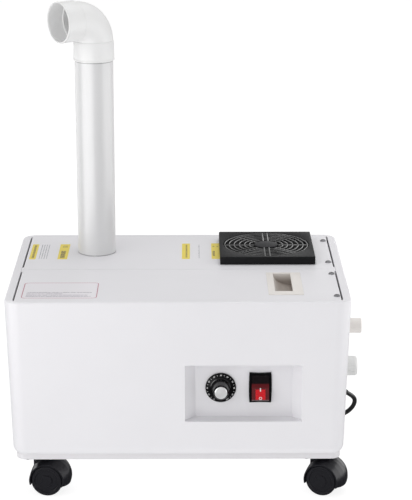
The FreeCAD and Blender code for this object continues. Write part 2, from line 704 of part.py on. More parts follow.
def drain_cap():
    """Screw cap with a fine grip round its side and a rounded end."""
    start = 219.0
    end = FITTING_END
    cap = turned([(10.1, start), (DRAIN_CAP_R, start), (DRAIN_CAP_R, end - 2.5),
                  (DRAIN_CAP_R - 0.8, end - 0.8), (DRAIN_CAP_R - 2.6, end), (0, end),
                  (0, end - 4), (10.1, end - 4)], (0, DRAIN_Y, DRAIN_Z), (1, 0, 0))
    grooves = []
    for number in range(24):
        angle = math.radians(15 * number)
        y = DRAIN_Y + (DRAIN_CAP_R + 0.35) * math.cos(angle)
        z = DRAIN_Z + (DRAIN_CAP_R + 0.35) * math.sin(angle)
        grooves.append(rod(0.8, (start + 1.5, y, z), (end - 4.5, y, z)))
    return cut(cap, *grooves)


def drain_cap_seal():
    end = FITTING_END
    return turned([(0, 236.3), (9.6, 236.3), (9.6, end - 4.3), (0, end - 4.3)],
                  (0, DRAIN_Y, DRAIN_Z), (1, 0, 0))


# ---------------------------------------------------------------- control recess
def tray_hollow(y0, y1, grow):
    """Space in the recess between two depths: its ends slope, its top and bottom don't."""
    start = -BODY_DEPTH / 2 + WALL
    outlines = []
    for y in (y0, y1):
        rise = (y - start) / (PANEL_Y - start)
        x0 = RECESS_X0 + rise * (PANEL_X0 - RECESS_X0) - grow
        x1 = RECESS_X1 + rise * (PANEL_X1 - RECESS_X1) + grow
        z0 = RECESS_Z0 - grow
        z1 = RECESS_Z1 + grow
        corners = [Vector(x0, y, z0), Vector(x1, y, z0), Vector(x1, y, z1), Vector(x0, y, z1)]
        outlines.append(Part.makePolygon(corners + corners[:1]))
    return Part.makeLoft(outlines, True, True)


def control_tray():
    """Sloped tray clipped behind the front wall; it carries the dial and the switch."""
    start = -BODY_DEPTH / 2 + WALL
    wall = 2.5
    outside = tray_hollow(start, PANEL_Y + PANEL, wall)
    flange = box(RECESS_X0 - 9, RECESS_X1 + 9, start, start + wall, RECESS_Z0 - 9, RECESS_Z1 + 9)
    tray = fuse(outside, flange).cut(tray_hollow(start, PANEL_Y, 0.0))
    dial_hole = rod(3.6, (DIAL_X, PANEL_Y - 5, DIAL_Z), (DIAL_X, PANEL_Y + 10, DIAL_Z))
    switch_hole = box(SWITCH_X - 13.4, SWITCH_X + 13.4, PANEL_Y - 1, PANEL_Y + 10,
                      SWITCH_Z - 18.7, SWITCH_Z + 18.7)
    return cut(tray, dial_hole, switch_hole)


TOWARD_FRONT = (0, -1, 0)
KNOB_BACK = PANEL_Y - 0.5
KNOB_FACE = -156.6
KNOB_CAP_R = 7.8


def dial_knob():
    """Skirted knob: a flat skirt for the scale, then a tapered grip with a ring of flutes."""
    tall = KNOB_BACK - KNOB_FACE
    knob = turned([(8.5, 0), (DIAL_R, 0), (DIAL_R, 1.8), (DIAL_R - 0.8, 2.6), (12.6, 4.6),
                   (12.2, 6.0), (9.8, tall - 1.2), (9.0, tall), (KNOB_CAP_R + 0.1, tall),
                   (KNOB_CAP_R + 0.1, tall - 1.4), (3.05, tall - 1.4), (3.05, 5.0), (8.5, 5.0)],
                  (DIAL_X, KNOB_BACK, DIAL_Z), TOWARD_FRONT)
    return knob


def knob_cap():
    rim = KNOB_CAP_R - 0.6
    return turned([(0, -1.3), (KNOB_CAP_R, -1.3), (KNOB_CAP_R, 1.2), (rim, 1.8), (0, 1.8)],
                  (DIAL_X, KNOB_FACE, DIAL_Z), TOWARD_FRONT)


def dial_shaft():
    return rod(3.0, (DIAL_X, KNOB_FACE + 1.5, DIAL_Z), (DIAL_X, PANEL_Y + 11.5, DIAL_Z))


def potentiometer():
    """Turned control behind the panel, held by its bush and nut."""
    back = PANEL_Y + PANEL
    centre = (DIAL_X, 0, DIAL_Z)
    body = turned([(3.1, back), (12.0, back), (12.0, back + 11), (0, back + 11), (0, back + 9),
                   (3.1, back + 9)], centre, (0, 1, 0))
    bush = turned([(3.1, PANEL_Y - 4), (3.5, PANEL_Y - 4), (3.5, back + 1), (3.1, back + 1)],
                  centre, (0, 1, 0))
    nut = turned([(3.3, PANEL_Y - 2.5), (6.0, PANEL_Y - 2.5), (6.0, PANEL_Y), (3.3, PANEL_Y)],
                 centre, (0, 1, 0))
    tabs = [box(DIAL_X + 6 * k - 1.2, DIAL_X + 6 * k + 1.2, back + 3, back + 4, DIAL_Z - 19,
                DIAL_Z - 10) for k in (-1, 0, 1)]
    return fuse(body, bush, nut, *tabs)


def switch_housing():
    """Snap-in housing: its bezel bulges a little at the sides and its ends curve in."""
    half_w = SWITCH_WIDTH / 2
    half_h = SWITCH_HEIGHT / 2
    bulge = 0.7
    face_y = PANEL_Y - 2.6
    stops = [(-half_w + bulge, -half_h), (0, -half_h + 0.5), (half_w - bulge, -half_h), (half_w, 0),
             (half_w - bulge, half_h), (0, half_h - 0.8), (-half_w + bulge, half_h), (-half_w, 0)]
    points = [Vector(SWITCH_X + x, PANEL_Y, SWITCH_Z + z) for x, z in stops]
    ring = points + points[:1]
    edges = [Part.Arc(ring[k], ring[k + 1], ring[k + 2]).toShape() for k in (0, 2, 4, 6)]
    bezel = Part.Face(Part.Wire(edges)).extrude(Vector(0, face_y - PANEL_Y, 0))
    front = [e for e in bezel.Edges if e.BoundBox.YMax < face_y + 0.01]
    bezel = bezel.makeFillet(0.8, front)
    can = box(SWITCH_X - 13.2, SWITCH_X + 13.2, PANEL_Y, PANEL_Y + 22, SWITCH_Z - 18.5,
              SWITCH_Z + 18.5)
    pocket = box(SWITCH_X - 11.1, SWITCH_X + 11.1, face_y - 1, PANEL_Y + 8, SWITCH_Z - 17.2,
                 SWITCH_Z + 17.2)
    pivots = rod(1.6, (SWITCH_X - 12.6, ROCKER_AXIS_Y, SWITCH_Z),
                 (SWITCH_X + 12.6, ROCKER_AXIS_Y, SWITCH_Z))
    tabs = [box(SWITCH_X - 2.4, SWITCH_X + 2.4, PANEL_Y + 21.5, PANEL_Y + 31,
                SWITCH_Z + 11 * k - 0.4, SWITCH_Z + 11 * k + 0.4) for k in (-1, 0, 1)]
    return cut(fuse(bezel, can, *tabs), pocket, pivots)


def rocker_turn(shape):
    """Rest position: the top end pressed in."""
    shape.rotate(Vector(SWITCH_X, ROCKER_AXIS_Y, SWITCH_Z), Vector(1, 0, 0), -ROCKER_TILT)
    return shape


LENS = (14.4, 2.2, 14.6)        # width, near end, far end along the lower facet
LENS_SINK = 0.9


def rocker_facets(offset):
    """(y, z) outline of the rocker's dished front, moved outwards by offset."""
    reach = 20.0
    dish = 4.6
    rise = reach * math.tan(math.radians(11.2))
    axis_y = ROCKER_AXIS_Y - offset
    return [(axis_y - dish - rise, SWITCH_Z + reach), (axis_y - dish, SWITCH_Z),
            (axis_y - dish - rise, SWITCH_Z - reach), (axis_y + 3, SWITCH_Z - reach),
            (axis_y + 3, SWITCH_Z + reach)]


def lens_block():
    half = LENS[0] / 2
    band = box(SWITCH_X - half, SWITCH_X + half, PANEL_Y - 20, PANEL_Y, SWITCH_Z - LENS[2],
               SWITCH_Z - LENS[1])
    shell = slab(rocker_facets(0.25), SWITCH_X - half, SWITCH_X + half)
    return band.common(shell).cut(slab(rocker_facets(-LENS_SINK), SWITCH_X - 20, SWITCH_X + 20))


def switch_rocker():
    half = ROCKER_WIDTH / 2
    disc = rod(ROCKER_R, (SWITCH_X - half, ROCKER_AXIS_Y, SWITCH_Z),
               (SWITCH_X + half, ROCKER_AXIS_Y, SWITCH_Z))
    rocker = disc.common(slab(rocker_facets(0.0), SWITCH_X - half, SWITCH_X + half))
    pins = rod(1.5, (SWITCH_X - half - 1.4, ROCKER_AXIS_Y, SWITCH_Z),
               (SWITCH_X + half + 1.4, ROCKER_AXIS_Y, SWITCH_Z))
    return rocker_turn(fuse(rocker, pins).cut(lens_block()))


def switch_lens():
    return rocker_turn(lens_block())


# ---------------------------------------------------------------- dry compartment
def power_supply():
    """Vented metal case of the supply, flat on the body's floor."""
    floor = BODY_BOTTOM + WALL
    case = box(-175.0, -15.0, -128.0, -30.0, floor, floor + 40)
    case = case.makeFillet(1.5, edges_at(case, floor + 40))
    slots = [box(-160.0 + 9 * k, -156.5 + 9 * k, -110.0, -60.0, floor + 38.5, floor + 41)
             for k in range(14)]
    hollow = box(-173.5, -20.0, -126.5, -31.5, floor + 1.5, floor + 38.6)
    return cut(case, hollow, *slots)


def control_board():
    """Circuit board on four posts, with its heat sink, transformer and capacitors."""
    floor = BODY_BOTTOM + WALL
    deck = floor + 8.0
    board = box(20.0, 120.0, -104.0, -34.0, deck, deck + 1.6)
    posts = [rod(3.0, (x, y, floor), (x, y, deck + 0.5)) for x, y in grid(70.0, -69.0, 90.0, 60.0)]
    fins = [box(30.0 + 5 * k, 32.0 + 5 * k, -98.0, -78.0, deck + 3, deck + 24) for k in range(6)]
    sink = box(30.0, 57.0, -98.0, -78.0, deck + 1.6, deck + 4)
    coil = box(70.0, 94.0, -96.0, -72.0, deck + 1.6, deck + 22)
    cans = [rod(5.0, (x, -50.0, deck + 1.6), (x, -50.0, deck + 18)) for x in (34.0, 48.0, 62.0)]
    plug_row = box(76.0, 112.0, -48.0, -38.0, deck + 1.6, deck + 11)
    return fuse(board, sink, coil, plug_row, *posts, *fins, *cans)


# ---------------------------------------------------------------- mains cord
def cord_edges(route):
    """Straight runs joined by tangent arcs, each as large as its two runs allow."""
    points = [Vector(*p) for p in route]
    edges = []
    radii = []
    start = points[0]
    for before, corner, after in zip(points, points[1:], points[2:]):
        into = corner - before
        away = after - corner
        half_turn = into.getAngle(away) / 2
        setback = 0.45 * min(into.Length, away.Length)
        radius = setback / math.tan(half_turn)
        radii.append(radius)
        into.normalize()
        away.normalize()
        first = corner - into * setback
        last = corner + away * setback
        inwards = away - into
        inwards.normalize()
        middle = corner + inwards * (radius / math.cos(half_turn) - radius)
        edges.append(Part.LineSegment(start, first).toShape())
        edges.append(Part.Arc(first, middle, last).toShape())
        start = last
    edges.append(Part.LineSegment(start, points[-1]).toShape())
    return edges, radii


def cord_tube(route, name):
    edges, radii = cord_edges(route)
    path = Part.Wire(edges)
    heading = Vector(*route[1]) - Vector(*route[0])
    ring = Part.Wire(Part.Circle(Vector(*route[0]), heading, CORD_R).toShape())
    tube = path.makePipeShell([ring], True, False)
    wanted = math.pi * CORD_R ** 2 * path.Length
    print("%s: length %.0f mm, volume over section x length %.4f, bend radii %s"
          % (name, path.Length, tube.Volume / wanted, " ".join("%.0f" % r for r in radii)))
    return tube


def cord_coil():
    """Outer shape of the put-away turns, lying on the floor."""
    inner = COIL_MEAN_R - COIL_BAND / 2
    outer = COIL_MEAN_R + COIL_BAND / 2
    lean = 2.5
    return turned([(inner, 0), (outer, 0), (outer, COIL_HEIGHT - lean), (outer - lean, COIL_HEIGHT),
                   (inner + lean, COIL_HEIGHT), (inner, COIL_HEIGHT - lean)],
                  (COIL_X, COIL_Y, 0))


BOOT_BEND_R = 18.0
BOOT_BEND = 45.0
BOOT_ROOT_R = 5.2
BOOT_TIP_R = 3.6
BOOT_SECTIONS = 5


def cord_gland():
    """Strain relief: a lip each side of the wall, and a tapered boot that curves down and back."""
    seat = GLAND_PAD_X
    inner_seat = 203.0
    root = seat + 2.8
    neck = turned([(0, 194.0), (4.0, 194.0), (4.4, inner_seat - 3), (7.0, inner_seat - 3),
                   (7.0, inner_seat), (4.7, inner_seat), (4.7, seat), (7.5, seat),
                   (7.5, seat + 1.6), (BOOT_ROOT_R + 0.3, seat + 2.2), (BOOT_ROOT_R, root), (0, root)],
                  (0, GLAND_Y, GLAND_Z), (1, 0, 0))
    tip = Vector(*GLAND_TIP)
    aside = Vector(0, tip.y - GLAND_Y, tip.z - GLAND_Z)
    aside.normalize()
    rings = []
    for number in range(BOOT_SECTIONS):
        share = number / (BOOT_SECTIONS - 1)
        turn = math.radians(BOOT_BEND * share)
        centre = (Vector(root, GLAND_Y, GLAND_Z) + Vector(BOOT_BEND_R * math.sin(turn), 0, 0)
                  + aside * (BOOT_BEND_R * (1 - math.cos(turn))))
        heading = Vector(math.cos(turn), 0, 0) + aside * math.sin(turn)
        radius = BOOT_ROOT_R + share * (BOOT_TIP_R - BOOT_ROOT_R)
        rings.append(Part.Wire(Part.Circle(centre, heading, radius).toShape()))
    boot = Part.makeLoft(rings, True, False)
    return neck.fuse(boot)


def plug():
    """Two-pin plug lying on its side, with its ribbed boot toward the cord."""
    end = Vector(*TAIL_ROUTE[-1])
    shank = turned([(0, 0), (3.4, 0), (4.6, 16), (0, 16)], (0, 0, 0), (1, 0, 0))
    body = rounded_box(14.0, 44.0, -12.0, 12.0, -7.0, 7.0, 5.0)
    body = body.makeFillet(2.0, edges_at(body, 7.0) + edges_at(body, -7.0))
    pins = [rod(2.0, (43.0, y, 0), (63.0, y, 0)) for y in (-9.5 + 1.0, 9.5 - 1.0)]
    whole = fuse(shank, body, *pins)
    whole.Placement = Placement(end, Rotation(Vector(0, 0, 1), PLUG_YAW))
    return whole


# ---------------------------------------------------------------- casters
def caster_place(shape, name):
    """Turn a caster's piece about its stem and stand it under its corner."""
    x, y, yaw = CASTERS[name]
    shape.Placement = Placement(Vector(x * CASTER_X, y * CASTER_Y, 0),
                                Rotation(Vector(0, 0, 1), yaw)).multiply(shape.Placement)
    return shape


def hood_dome(reach):
    """Crowned block over both wheels: round at its two ends, fuller and set back in the middle."""
    rings = []
    for number in range(2 * HOOD_STEPS + 1):
        along = number / HOOD_STEPS - 1
        fullness = 1 - along ** 2
        centre = Vector(CASTER_TRAIL + HOOD_SETBACK * fullness, reach * along,
                        WHEEL_R + HOOD_LIFT * fullness)
        radius = HOOD_R + HOOD_CROWN * fullness
        rings.append(Part.Wire(Part.Circle(centre, Vector(0, 1, 0), radius).toShape()))
    return Part.makeLoft(rings, True, True)


def caster_hood():
    """Crowned mudguard over both wheels, central web, swivel boss, stem and axle, trailing along +X."""
    x = CASTER_TRAIL
    z = WHEEL_R
    half_web = WEB_WIDTH / 2
    reach = half_web + WHEEL_WIDTH + 0.6
    wheel_room = WHEEL_R + 0.8
    web = rod(HOOD_R - 1, (x, -half_web, z), (x, half_web, z))
    cover = hood_dome(reach).cut(rod(wheel_room, (x, -reach - 1, z), (x, reach + 1, z)))
    spread = 60.0
    foot = math.radians(-15)
    corners = [Vector(x, 0, z), Vector(x + spread * math.cos(foot), 0, z + spread * math.sin(foot)),
               Vector(x + spread, 0, z - spread), Vector(x - spread, 0, z - spread),
               Vector(x - spread * math.cos(foot), 0, z + spread * math.sin(foot))]
    wedge = Part.Face(Part.makePolygon(corners + corners[:1])).extrude(Vector(0, 80, 0))
    wedge.translate(Vector(0, -40, 0))
    cover = cover.cut(wedge)
    under = box(x - 30, x + 30, -30, 30, -5, 6.5)
    web = web.cut(under)
    boss = rod(8.5, (0, 0, z + 8), (0, 0, BOARD_BOTTOM - PLATE - 0.6))
    wheel_space = [rod(wheel_room, (x, side * (half_web + 0.01), z), (x, side * 40, z))
                   for side in (-1, 1)]
    boss = boss.cut(wheel_space)
    stem = rod(STEM_R, (0, 0, 40), (0, 0, BODY_BOTTOM - 2))
    axle = rod(AXLE_R, (x, -half_web - WHEEL_WIDTH + 2, z), (x, half_web + WHEEL_WIDTH - 2, z))
    return fuse(web, cover, boss, stem, axle)


def caster_wheel(side):
    """Wheel with a rounded tread, a dished face and a raised centre; side is -1 or 1."""
    near = WEB_WIDTH / 2 + 0.4
    far = near + WHEEL_WIDTH - 0.4
    profile = [(AXLE_R + 0.1, near), (WHEEL_R - 1, near), (WHEEL_R, near + 1), (WHEEL_R, far - 1.5),
               (WHEEL_R - 1.5, far), (WHEEL_R - 4.5, far), (WHEEL_R - 5.2, far - 1.2), (7.5, far - 1.2),
               (7.0, far), (0, far), (0, far - 1.2), (AXLE_R + 0.1, far - 1.2)]
    return turned(profile, (CASTER_TRAIL, 0, WHEEL_R), (0, side, 0))


def caster_mounts():
    """Screwed plates under the board, each with the bush for one caster's stem."""
    mounts = []
    for x, y in caster_centres().values():
        half = PLATE_SIZE / 2
        plate = rounded_box(x - half, x + half, y - half, y + half, BOARD_BOTTOM - PLATE,
                            BOARD_BOTTOM, 4.0)
        bush = rod(7.0, (x, y, BOARD_BOTTOM - 1), (x, y, BODY_BOTTOM - 0.5))
        holes = [rod(PLATE_SCREW_R + 0.05, (i, j, 40), (i, j, 60))
                 for i, j in grid(x, y, PLATE_HOLE_PITCH, PLATE_HOLE_PITCH)]
        bore = rod(STEM_R + 0.1, (x, y, 40), (x, y, BODY_BOTTOM - 1.4))
        mounts.append(cut(fuse(plate, bush), bore, *holes))
    return mounts


# ---------------------------------------------------------------- build
def build():
    save("body_shell", body_shell())
    save("base_board", base_board())
    save("base_screws", *base_screws())
    save("cover_gasket", cover_gasket())
    save("front_cover", front_cover())
    save("rear_cover", rear_cover())
    save("front_cover_screws", *cover_screws(SCREW_PLACES["front"]))
    save("rear_cover_screws", *cover_screws(SCREW_PLACES["rear"]))
    save("finger_pull", finger_pull())
    save("outlet_collar", outlet_collar())
    save("mist_pipe", mist_pipe())
    save("mist_elbow", mist_elbow())
    save("fan_frame", fan_frame())
    save("fan_rotor", fan_rotor())
    save("fan_guard_base", fan_guard_base())
    save("fan_filter", fan_filter())
    save("fan_screws", *fan_screws())
    save("fan_guard", fan_guard())
    save("tank", tank())
    save("mist_unit_base", mist_unit_base())
    save("mist_unit_cover", mist_unit_cover())
    save("ceramic_discs", *ceramic_discs())
    save("level_stem", level_stem())
    save("level_float", level_float())
    save("inlet_stem", inlet_stem())
    save("inlet_locknut", locknut(INLET_Y, INLET_Z))
    save("float_arm", float_arm())
    save("float_ball", float_ball())
    save("drain_spout", drain_spout())
    save("drain_locknut", locknut(DRAIN_Y, DRAIN_Z))
    save("drain_cap", drain_cap())
    save("drain_cap_seal", drain_cap_seal())
    save("control_tray", control_tray())
    save("dial_knob", dial_knob())
    save("knob_cap", knob_cap())
    save("dial_shaft", dial_shaft())
    save("potentiometer", potentiometer())
    save("switch_housing", switch_housing())
    save("switch_rocker", switch_rocker())
    save("switch_lens", switch_lens())
    save("power_supply", power_supply())
    save("control_board", control_board())
    save("cord_gland", cord_gland())
    save("power_cord", cord_tube(CORD_ROUTE, "power_cord"))
    save("cord_coil", cord_coil())
    save("cord_tail", cord_tube(TAIL_ROUTE, "cord_tail"))
    save("plug", plug())
    save("caster_mounts", *caster_mounts())
    for name in CASTERS:
        save("caster_hood_" + name, caster_place(caster_hood(), name))
        save("caster_wheel_%s_a" % name, caster_place(caster_wheel(-1), name))
        save("caster_wheel_%s_b" % name, caster_place(caster_wheel(1), name))


build()
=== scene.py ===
"""Cool mist humidifier on casters: studio, finishes and the hand-made pieces round its fixed frame.

Metres, X to the right, Y to the back, +Z up, with the floor at z 0. Sizes and places below are in
millimetres unless they say otherwise, and MM brings them to metres.
"""
import bpy
import math
from mathutils import Matrix, Vector


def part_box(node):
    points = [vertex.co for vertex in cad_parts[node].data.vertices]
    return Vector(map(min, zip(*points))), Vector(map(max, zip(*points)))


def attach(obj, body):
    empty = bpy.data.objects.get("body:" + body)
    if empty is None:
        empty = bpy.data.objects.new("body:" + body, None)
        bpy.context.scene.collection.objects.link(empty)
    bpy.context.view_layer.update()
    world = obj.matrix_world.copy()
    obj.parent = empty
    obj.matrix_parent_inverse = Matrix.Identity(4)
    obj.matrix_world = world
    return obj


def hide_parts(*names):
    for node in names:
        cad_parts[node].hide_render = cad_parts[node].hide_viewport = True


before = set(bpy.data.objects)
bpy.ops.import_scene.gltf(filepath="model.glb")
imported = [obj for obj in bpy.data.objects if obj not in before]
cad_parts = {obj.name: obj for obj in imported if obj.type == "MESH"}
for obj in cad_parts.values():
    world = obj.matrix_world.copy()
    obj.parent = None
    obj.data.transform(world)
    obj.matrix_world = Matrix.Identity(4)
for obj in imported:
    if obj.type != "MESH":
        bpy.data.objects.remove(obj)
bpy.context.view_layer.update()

MM = 0.001

# ---------------------------------------------------------------- camera
CAMERA_PLACE = (0.0186, -2.3495, 0.9643)    # metres
CAMERA_PITCH = 16.10                        # degrees downwards
CAMERA_YAW = -0.42
LENS_MM = 134.94
SENSOR_MM = 36.0


def set_camera():
    turn = (math.radians(90 - CAMERA_PITCH), 0, math.radians(CAMERA_YAW))
    bpy.ops.object.camera_add(location=CAMERA_PLACE, rotation=turn)
    camera = bpy.context.object
    camera.data.lens = LENS_MM
    camera.data.sensor_width = SENSOR_MM
    bpy.context.scene.camera = camera


# ---------------------------------------------------------------- finishes
class Reading:
    """A value that changes over a surface; arithmetic on it adds Math nodes."""

    def __init__(self, paint, socket):
        self.paint = paint
        self.socket = socket

    def sum(self, operation, first, second):
        return self.paint.node("Math", {"operation": operation}, {0: first, 1: second})

    def __add__(self, other):
        return self.sum("ADD", self, other)

    def __sub__(self, other):
        return self.sum("SUBTRACT", self, other)

    def __rsub__(self, other):
        return self.sum("SUBTRACT", other, self)

    def __mul__(self, other):
        return self.sum("MULTIPLY", self, other)

    def __pow__(self, other):
        return self.sum("POWER", self, other)

    def __lt__(self, other):
        return self.sum("LESS_THAN", self, other)

    def __gt__(self, other):
        return self.sum("GREATER_THAN", self, other)

    def __abs__(self):
        return self.sum("ABSOLUTE", self, 0.0)

    __radd__ = __add__
    __rmul__ = __mul__

    def larger(self, other):
        return self.sum("MAXIMUM", self, other)


class Paint:
    """One finish: a material with a plastic or metal surface and what feeds it."""

    def __init__(self, name, world=None):
        self.material = world or bpy.data.materials.new(name)
        self.material.use_nodes = True
        self.tree = self.material.node_tree
        self.surface = self.tree.nodes["Background" if world else "Principled BSDF"]

    def join(self, value, socket):
        if isinstance(value, Reading):
            self.tree.links.new(value.socket, socket)
        else:
            socket.default_value = value

    def node(self, kind, settings=None, sockets=None, output=0):
        """A shader node: its settings first, then the values or links of its sockets."""
        made = self.tree.nodes.new("ShaderNode" + kind)
        for name, value in (settings or {}).items():
            if name == "stops":
                self.set_stops(made.color_ramp, value)
            else:
                setattr(made, name, value)
        for name, value in (sockets or {}).items():
            self.join(value, made.inputs[name])
        return Reading(self, made.outputs[output])

    def set_stops(self, ramp, stops):
        while len(ramp.elements) < len(stops):
            ramp.elements.new(0.5)
        for element, (place, shade) in zip(ramp.elements, stops):
            element.position = place
            element.color = shade

    def dress(self, **sockets):
        """Sets the surface's sockets; an underscore in a name stands for a space."""
        for name, value in sockets.items():
            self.join(value, self.surface.inputs[name.replace("_", " ")])
        return self.material

    def place(self, centre=(0, 0, 0), scale=1.0):
        """Object coordinates about a centre, in metres times scale."""
        where = self.node("TexCoord", output="Object")
        shift = [-c * scale for c in centre]
        return self.node("Mapping", None, {"Vector": where, "Location": shift,
                                           "Scale": (scale, scale, scale)})

    def axes(self, centre):
        """Millimetres from a centre, along X, Y and Z."""
        where = self.place(centre, 1 / MM)
        return [self.node("SeparateXYZ", None, {0: where}, axis) for axis in range(3)]

    def noise(self, scale, detail=2.0, stretch=(1, 1, 1), centre=(0, 0, 0)):
        where = self.node("Mapping", None, {"Vector": self.node("TexCoord", output="Object"),
                                            "Location": centre, "Scale": stretch})
        return self.node("TexNoise", None, {"Vector": where, "Scale": scale, "Detail": detail})

    def blend(self, share, first, second):
        """A colour between two, at a share of the second."""
        return self.node("Mix", {"data_type": "RGBA"}, {0: share, 6: first, 7: second}, 2)

    def bump(self, height, depth, strength=1.0):
        return self.node("Bump", None, {"Height": height, "Distance": depth, "Strength": strength})


def shade(colour, share=1.0):
    return tuple(c * share for c in colour) + (1.0,)


def moulded(name, colour, rough, mottle=0.012, grain=0.00002, grain_scale=900.0, **constants):
    """Moulded plastic: faint clouding in colour and gloss, and a fine skin."""
    paint = Paint(name)
    cloud = paint.noise(22.0, 3.0)
    patch = paint.noise(9.0, 1.0, centre=(3, 1, 2))
    tone = paint.blend(cloud, shade(colour, 1 - mottle), shade(colour, 1 + mottle))
    skin = paint.noise(grain_scale, 2.0)
    return paint.dress(Base_Color=tone, Roughness=rough - 0.05 + patch * 0.1,
                       Normal=paint.bump(skin, grain), **constants)


WHITE = (0.80, 0.792, 0.818)
PRINT_GREY = (0.23, 0.23, 0.26)
# middle along X, columns, half their length, spacing
PRINT_BLOCKS = ((-180.5, 4, 34.0, 3.2), (27.0, 1, 33.0, 3.2))
PRINT_MIDDLE_Y = 70.0
PRINT_HALF_WIDE = 0.55


def cabinet_white():
    return moulded("cabinet_white", WHITE, 0.40, mottle=0.016, grain=0.00003, Specular_IOR_Level=0.35)


def printed_white():
    """The rear cover's white, with two blocks of thin broken grey lines beside the labels."""
    paint = Paint("printed_white")
    cloud = paint.noise(22.0, 3.0)
    x, y, _ = paint.axes((0, 0, 0))
    ink = 0.0
    for middle, columns, half_long, spacing in PRINT_BLOCKS:
        for number in range(columns):
            column = middle + (number - (columns - 1) / 2) * spacing
            inside = (abs(x - column) < PRINT_HALF_WIDE) * (abs(y - PRINT_MIDDLE_Y) < half_long)
            ink = inside + ink
    breaks = paint.noise(620.0, 1.0, (1, 1, 0)) > 0.47
    tone = paint.blend(cloud, shade(WHITE, 0.984), shade(WHITE, 1.016))
    inked = paint.blend(ink * breaks * 0.9, tone, shade(PRINT_GREY))
    patch = paint.noise(9.0, 1.0, centre=(3, 1, 2))
    skin = paint.noise(900.0)
    return paint.dress(Base_Color=inked, Roughness=0.35 + patch * 0.1,
                       Normal=paint.bump(skin, 0.00003))


# painted contact shadows on the pipe: thin grey bands just under the elbow and where it meets the cover
PIPE_SHADOW_LINES = ((523.0, 525.2), (263.0, 265.0))    # heights from and to


def pipe_white():
    """Glossy extruded plastic: faint draw lines, and painted shadow lines under the elbow and at the
    cover.
    """
    paint = Paint("pipe_white")
    lines = paint.noise(60.0, 3.0, (6, 6, 0.15))
    cloud = paint.noise(18.0, 2.0)
    height = paint.axes((0, 0, 0))[2]
    # painted shadow: the bands below darken the pipe's tone towards grey
    shadow_line = 0.0
    for low, high in PIPE_SHADOW_LINES:
        shadow_line = (height > low) * (height < high) + shadow_line
    unshadowed = paint.blend(cloud, (0.69, 0.69, 0.695, 1), (0.71, 0.71, 0.715, 1))
    tone = paint.blend(shadow_line * 0.7, unshadowed, (0.22, 0.22, 0.225, 1))
    return paint.dress(Base_Color=tone, Roughness=0.28 + cloud * 0.08,
                       Normal=paint.bump(lines, 0.00002), Coat_Weight=0.5, Coat_Roughness=0.28)


def elbow_white():
    """Glossy moulded fitting; the mould leaves a very soft unevenness."""
    paint = Paint("elbow_white")
    cloud = paint.noise(18.0, 2.0)
    tone = paint.blend(cloud, (0.82, 0.82, 0.82, 1), (0.84, 0.84, 0.84, 1))
    soft = paint.noise(70.0, 2.0)
    return paint.dress(Base_Color=tone, Roughness=0.34 + cloud * 0.08,
                       Normal=paint.bump(soft, 0.00005), Specular_IOR_Level=0.45)


def dial_black():
    """Polished black; the grip is glossier than the printed skirt round it."""
    paint = Paint("dial_black")
    x, _, z = paint.axes((DIAL[0] * MM, 0, DIAL[1] * MM))
    grip = (x * x + z * z) < GRIP_R ** 2
    cloud = paint.noise(200.0, 2.0)
    tone = paint.blend(cloud, (0.003, 0.003, 0.004, 1), (0.005, 0.005, 0.006, 1))
    return paint.dress(Base_Color=tone, Roughness=0.3 - grip * 0.18 + cloud * 0.03,
                       Normal=paint.bump(cloud, 0.00001), Coat_Weight=grip * 0.7, Coat_Roughness=0.05,
                       Specular_IOR_Level=0.1)


def spun_metal():
    """Fine circular turning marks round the dial's axis."""
    paint = Paint("spun_metal")
    low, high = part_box("knob_cap")
    x, _, z = paint.axes((low + high) / 2)
    radius = (x * x + z * z) ** 0.5
    marks = paint.node("TexNoise", {"noise_dimensions": "1D"},
                       {"W": radius, "Scale": 6.0, "Detail": 3.0})
    tone = paint.blend(marks, (0.82, 0.82, 0.83, 1), (0.95, 0.95, 0.96, 1))
    return paint.dress(Base_Color=tone, Metallic=0.6, Roughness=0.28 + marks * 0.14,
                       Normal=paint.bump(marks, 0.00012))


def plated(name, colour, rough):
    """Plated or brushed steel with short scratches and a cloudy gloss."""
    paint = Paint(name)
    cloud = paint.noise(160.0, 3.0)
    scratch = paint.noise(300.0, 2.0, (8, 1, 1))
    tone = paint.blend(cloud, shade(colour, 0.88), shade(colour, 1.08))
    return paint.dress(Base_Color=tone, Metallic=1.0, Roughness=rough - 0.06 + cloud * 0.12,
                       Normal=paint.bump(scratch, 0.00004))


SCOOP_SHADE_HEIGHTS = (263.8, 254.0)    # heights where the painted shade begins and where it is full


def pull_ivory():
    """Ivory moulding, with painted shade that darkens it down in its scoop."""
    paint = Paint("pull_ivory")
    cloud = paint.noise(30.0, 2.0)
    height = paint.axes((0, 0, 0))[2]
    depth = paint.node("MapRange", None, {0: height, 1: SCOOP_SHADE_HEIGHTS[0], 2: SCOOP_SHADE_HEIGHTS[1]})
    tone = paint.blend(cloud, (0.79, 0.755, 0.72, 1), (0.82, 0.785, 0.75, 1))
    # painted shade: the ivory turns darker with depth in the scoop
    shaded_tone = paint.blend(depth, tone, (0.40, 0.355, 0.32, 1))
    skin = paint.noise(900.0)
    return paint.dress(Base_Color=shaded_tone, Roughness=0.38 + cloud * 0.1, Normal=paint.bump(skin, 0.00004))


def grille_black():
    """Satin black, with the rings and ribs in the port polished by the mould."""
    paint = Paint("grille_black")
    cloud = paint.noise(60.0, 2.0)
    x, y, _ = paint.axes((FAN[0] * MM, FAN[1] * MM, 0))
    reach = x * x + y * y
    hub = reach < (HUB_R + 1.1) ** 2
    port = (reach < (PORT_R - 0.7) ** 2) - hub
    black = paint.blend(cloud, (0.003, 0.003, 0.004, 1), (0.005, 0.005, 0.006, 1))
    tone = paint.blend(hub, black, (0.022, 0.022, 0.024, 1))
    skin = paint.noise(700.0)
    return paint.dress(Base_Color=tone, Roughness=0.46 - port * 0.2 + cloud * 0.06,
                       Normal=paint.bump(skin, 0.00003), Coat_Weight=port * 1.0, Coat_Roughness=0.12,
                       Coat_IOR=1.8, Specular_IOR_Level=0.15)


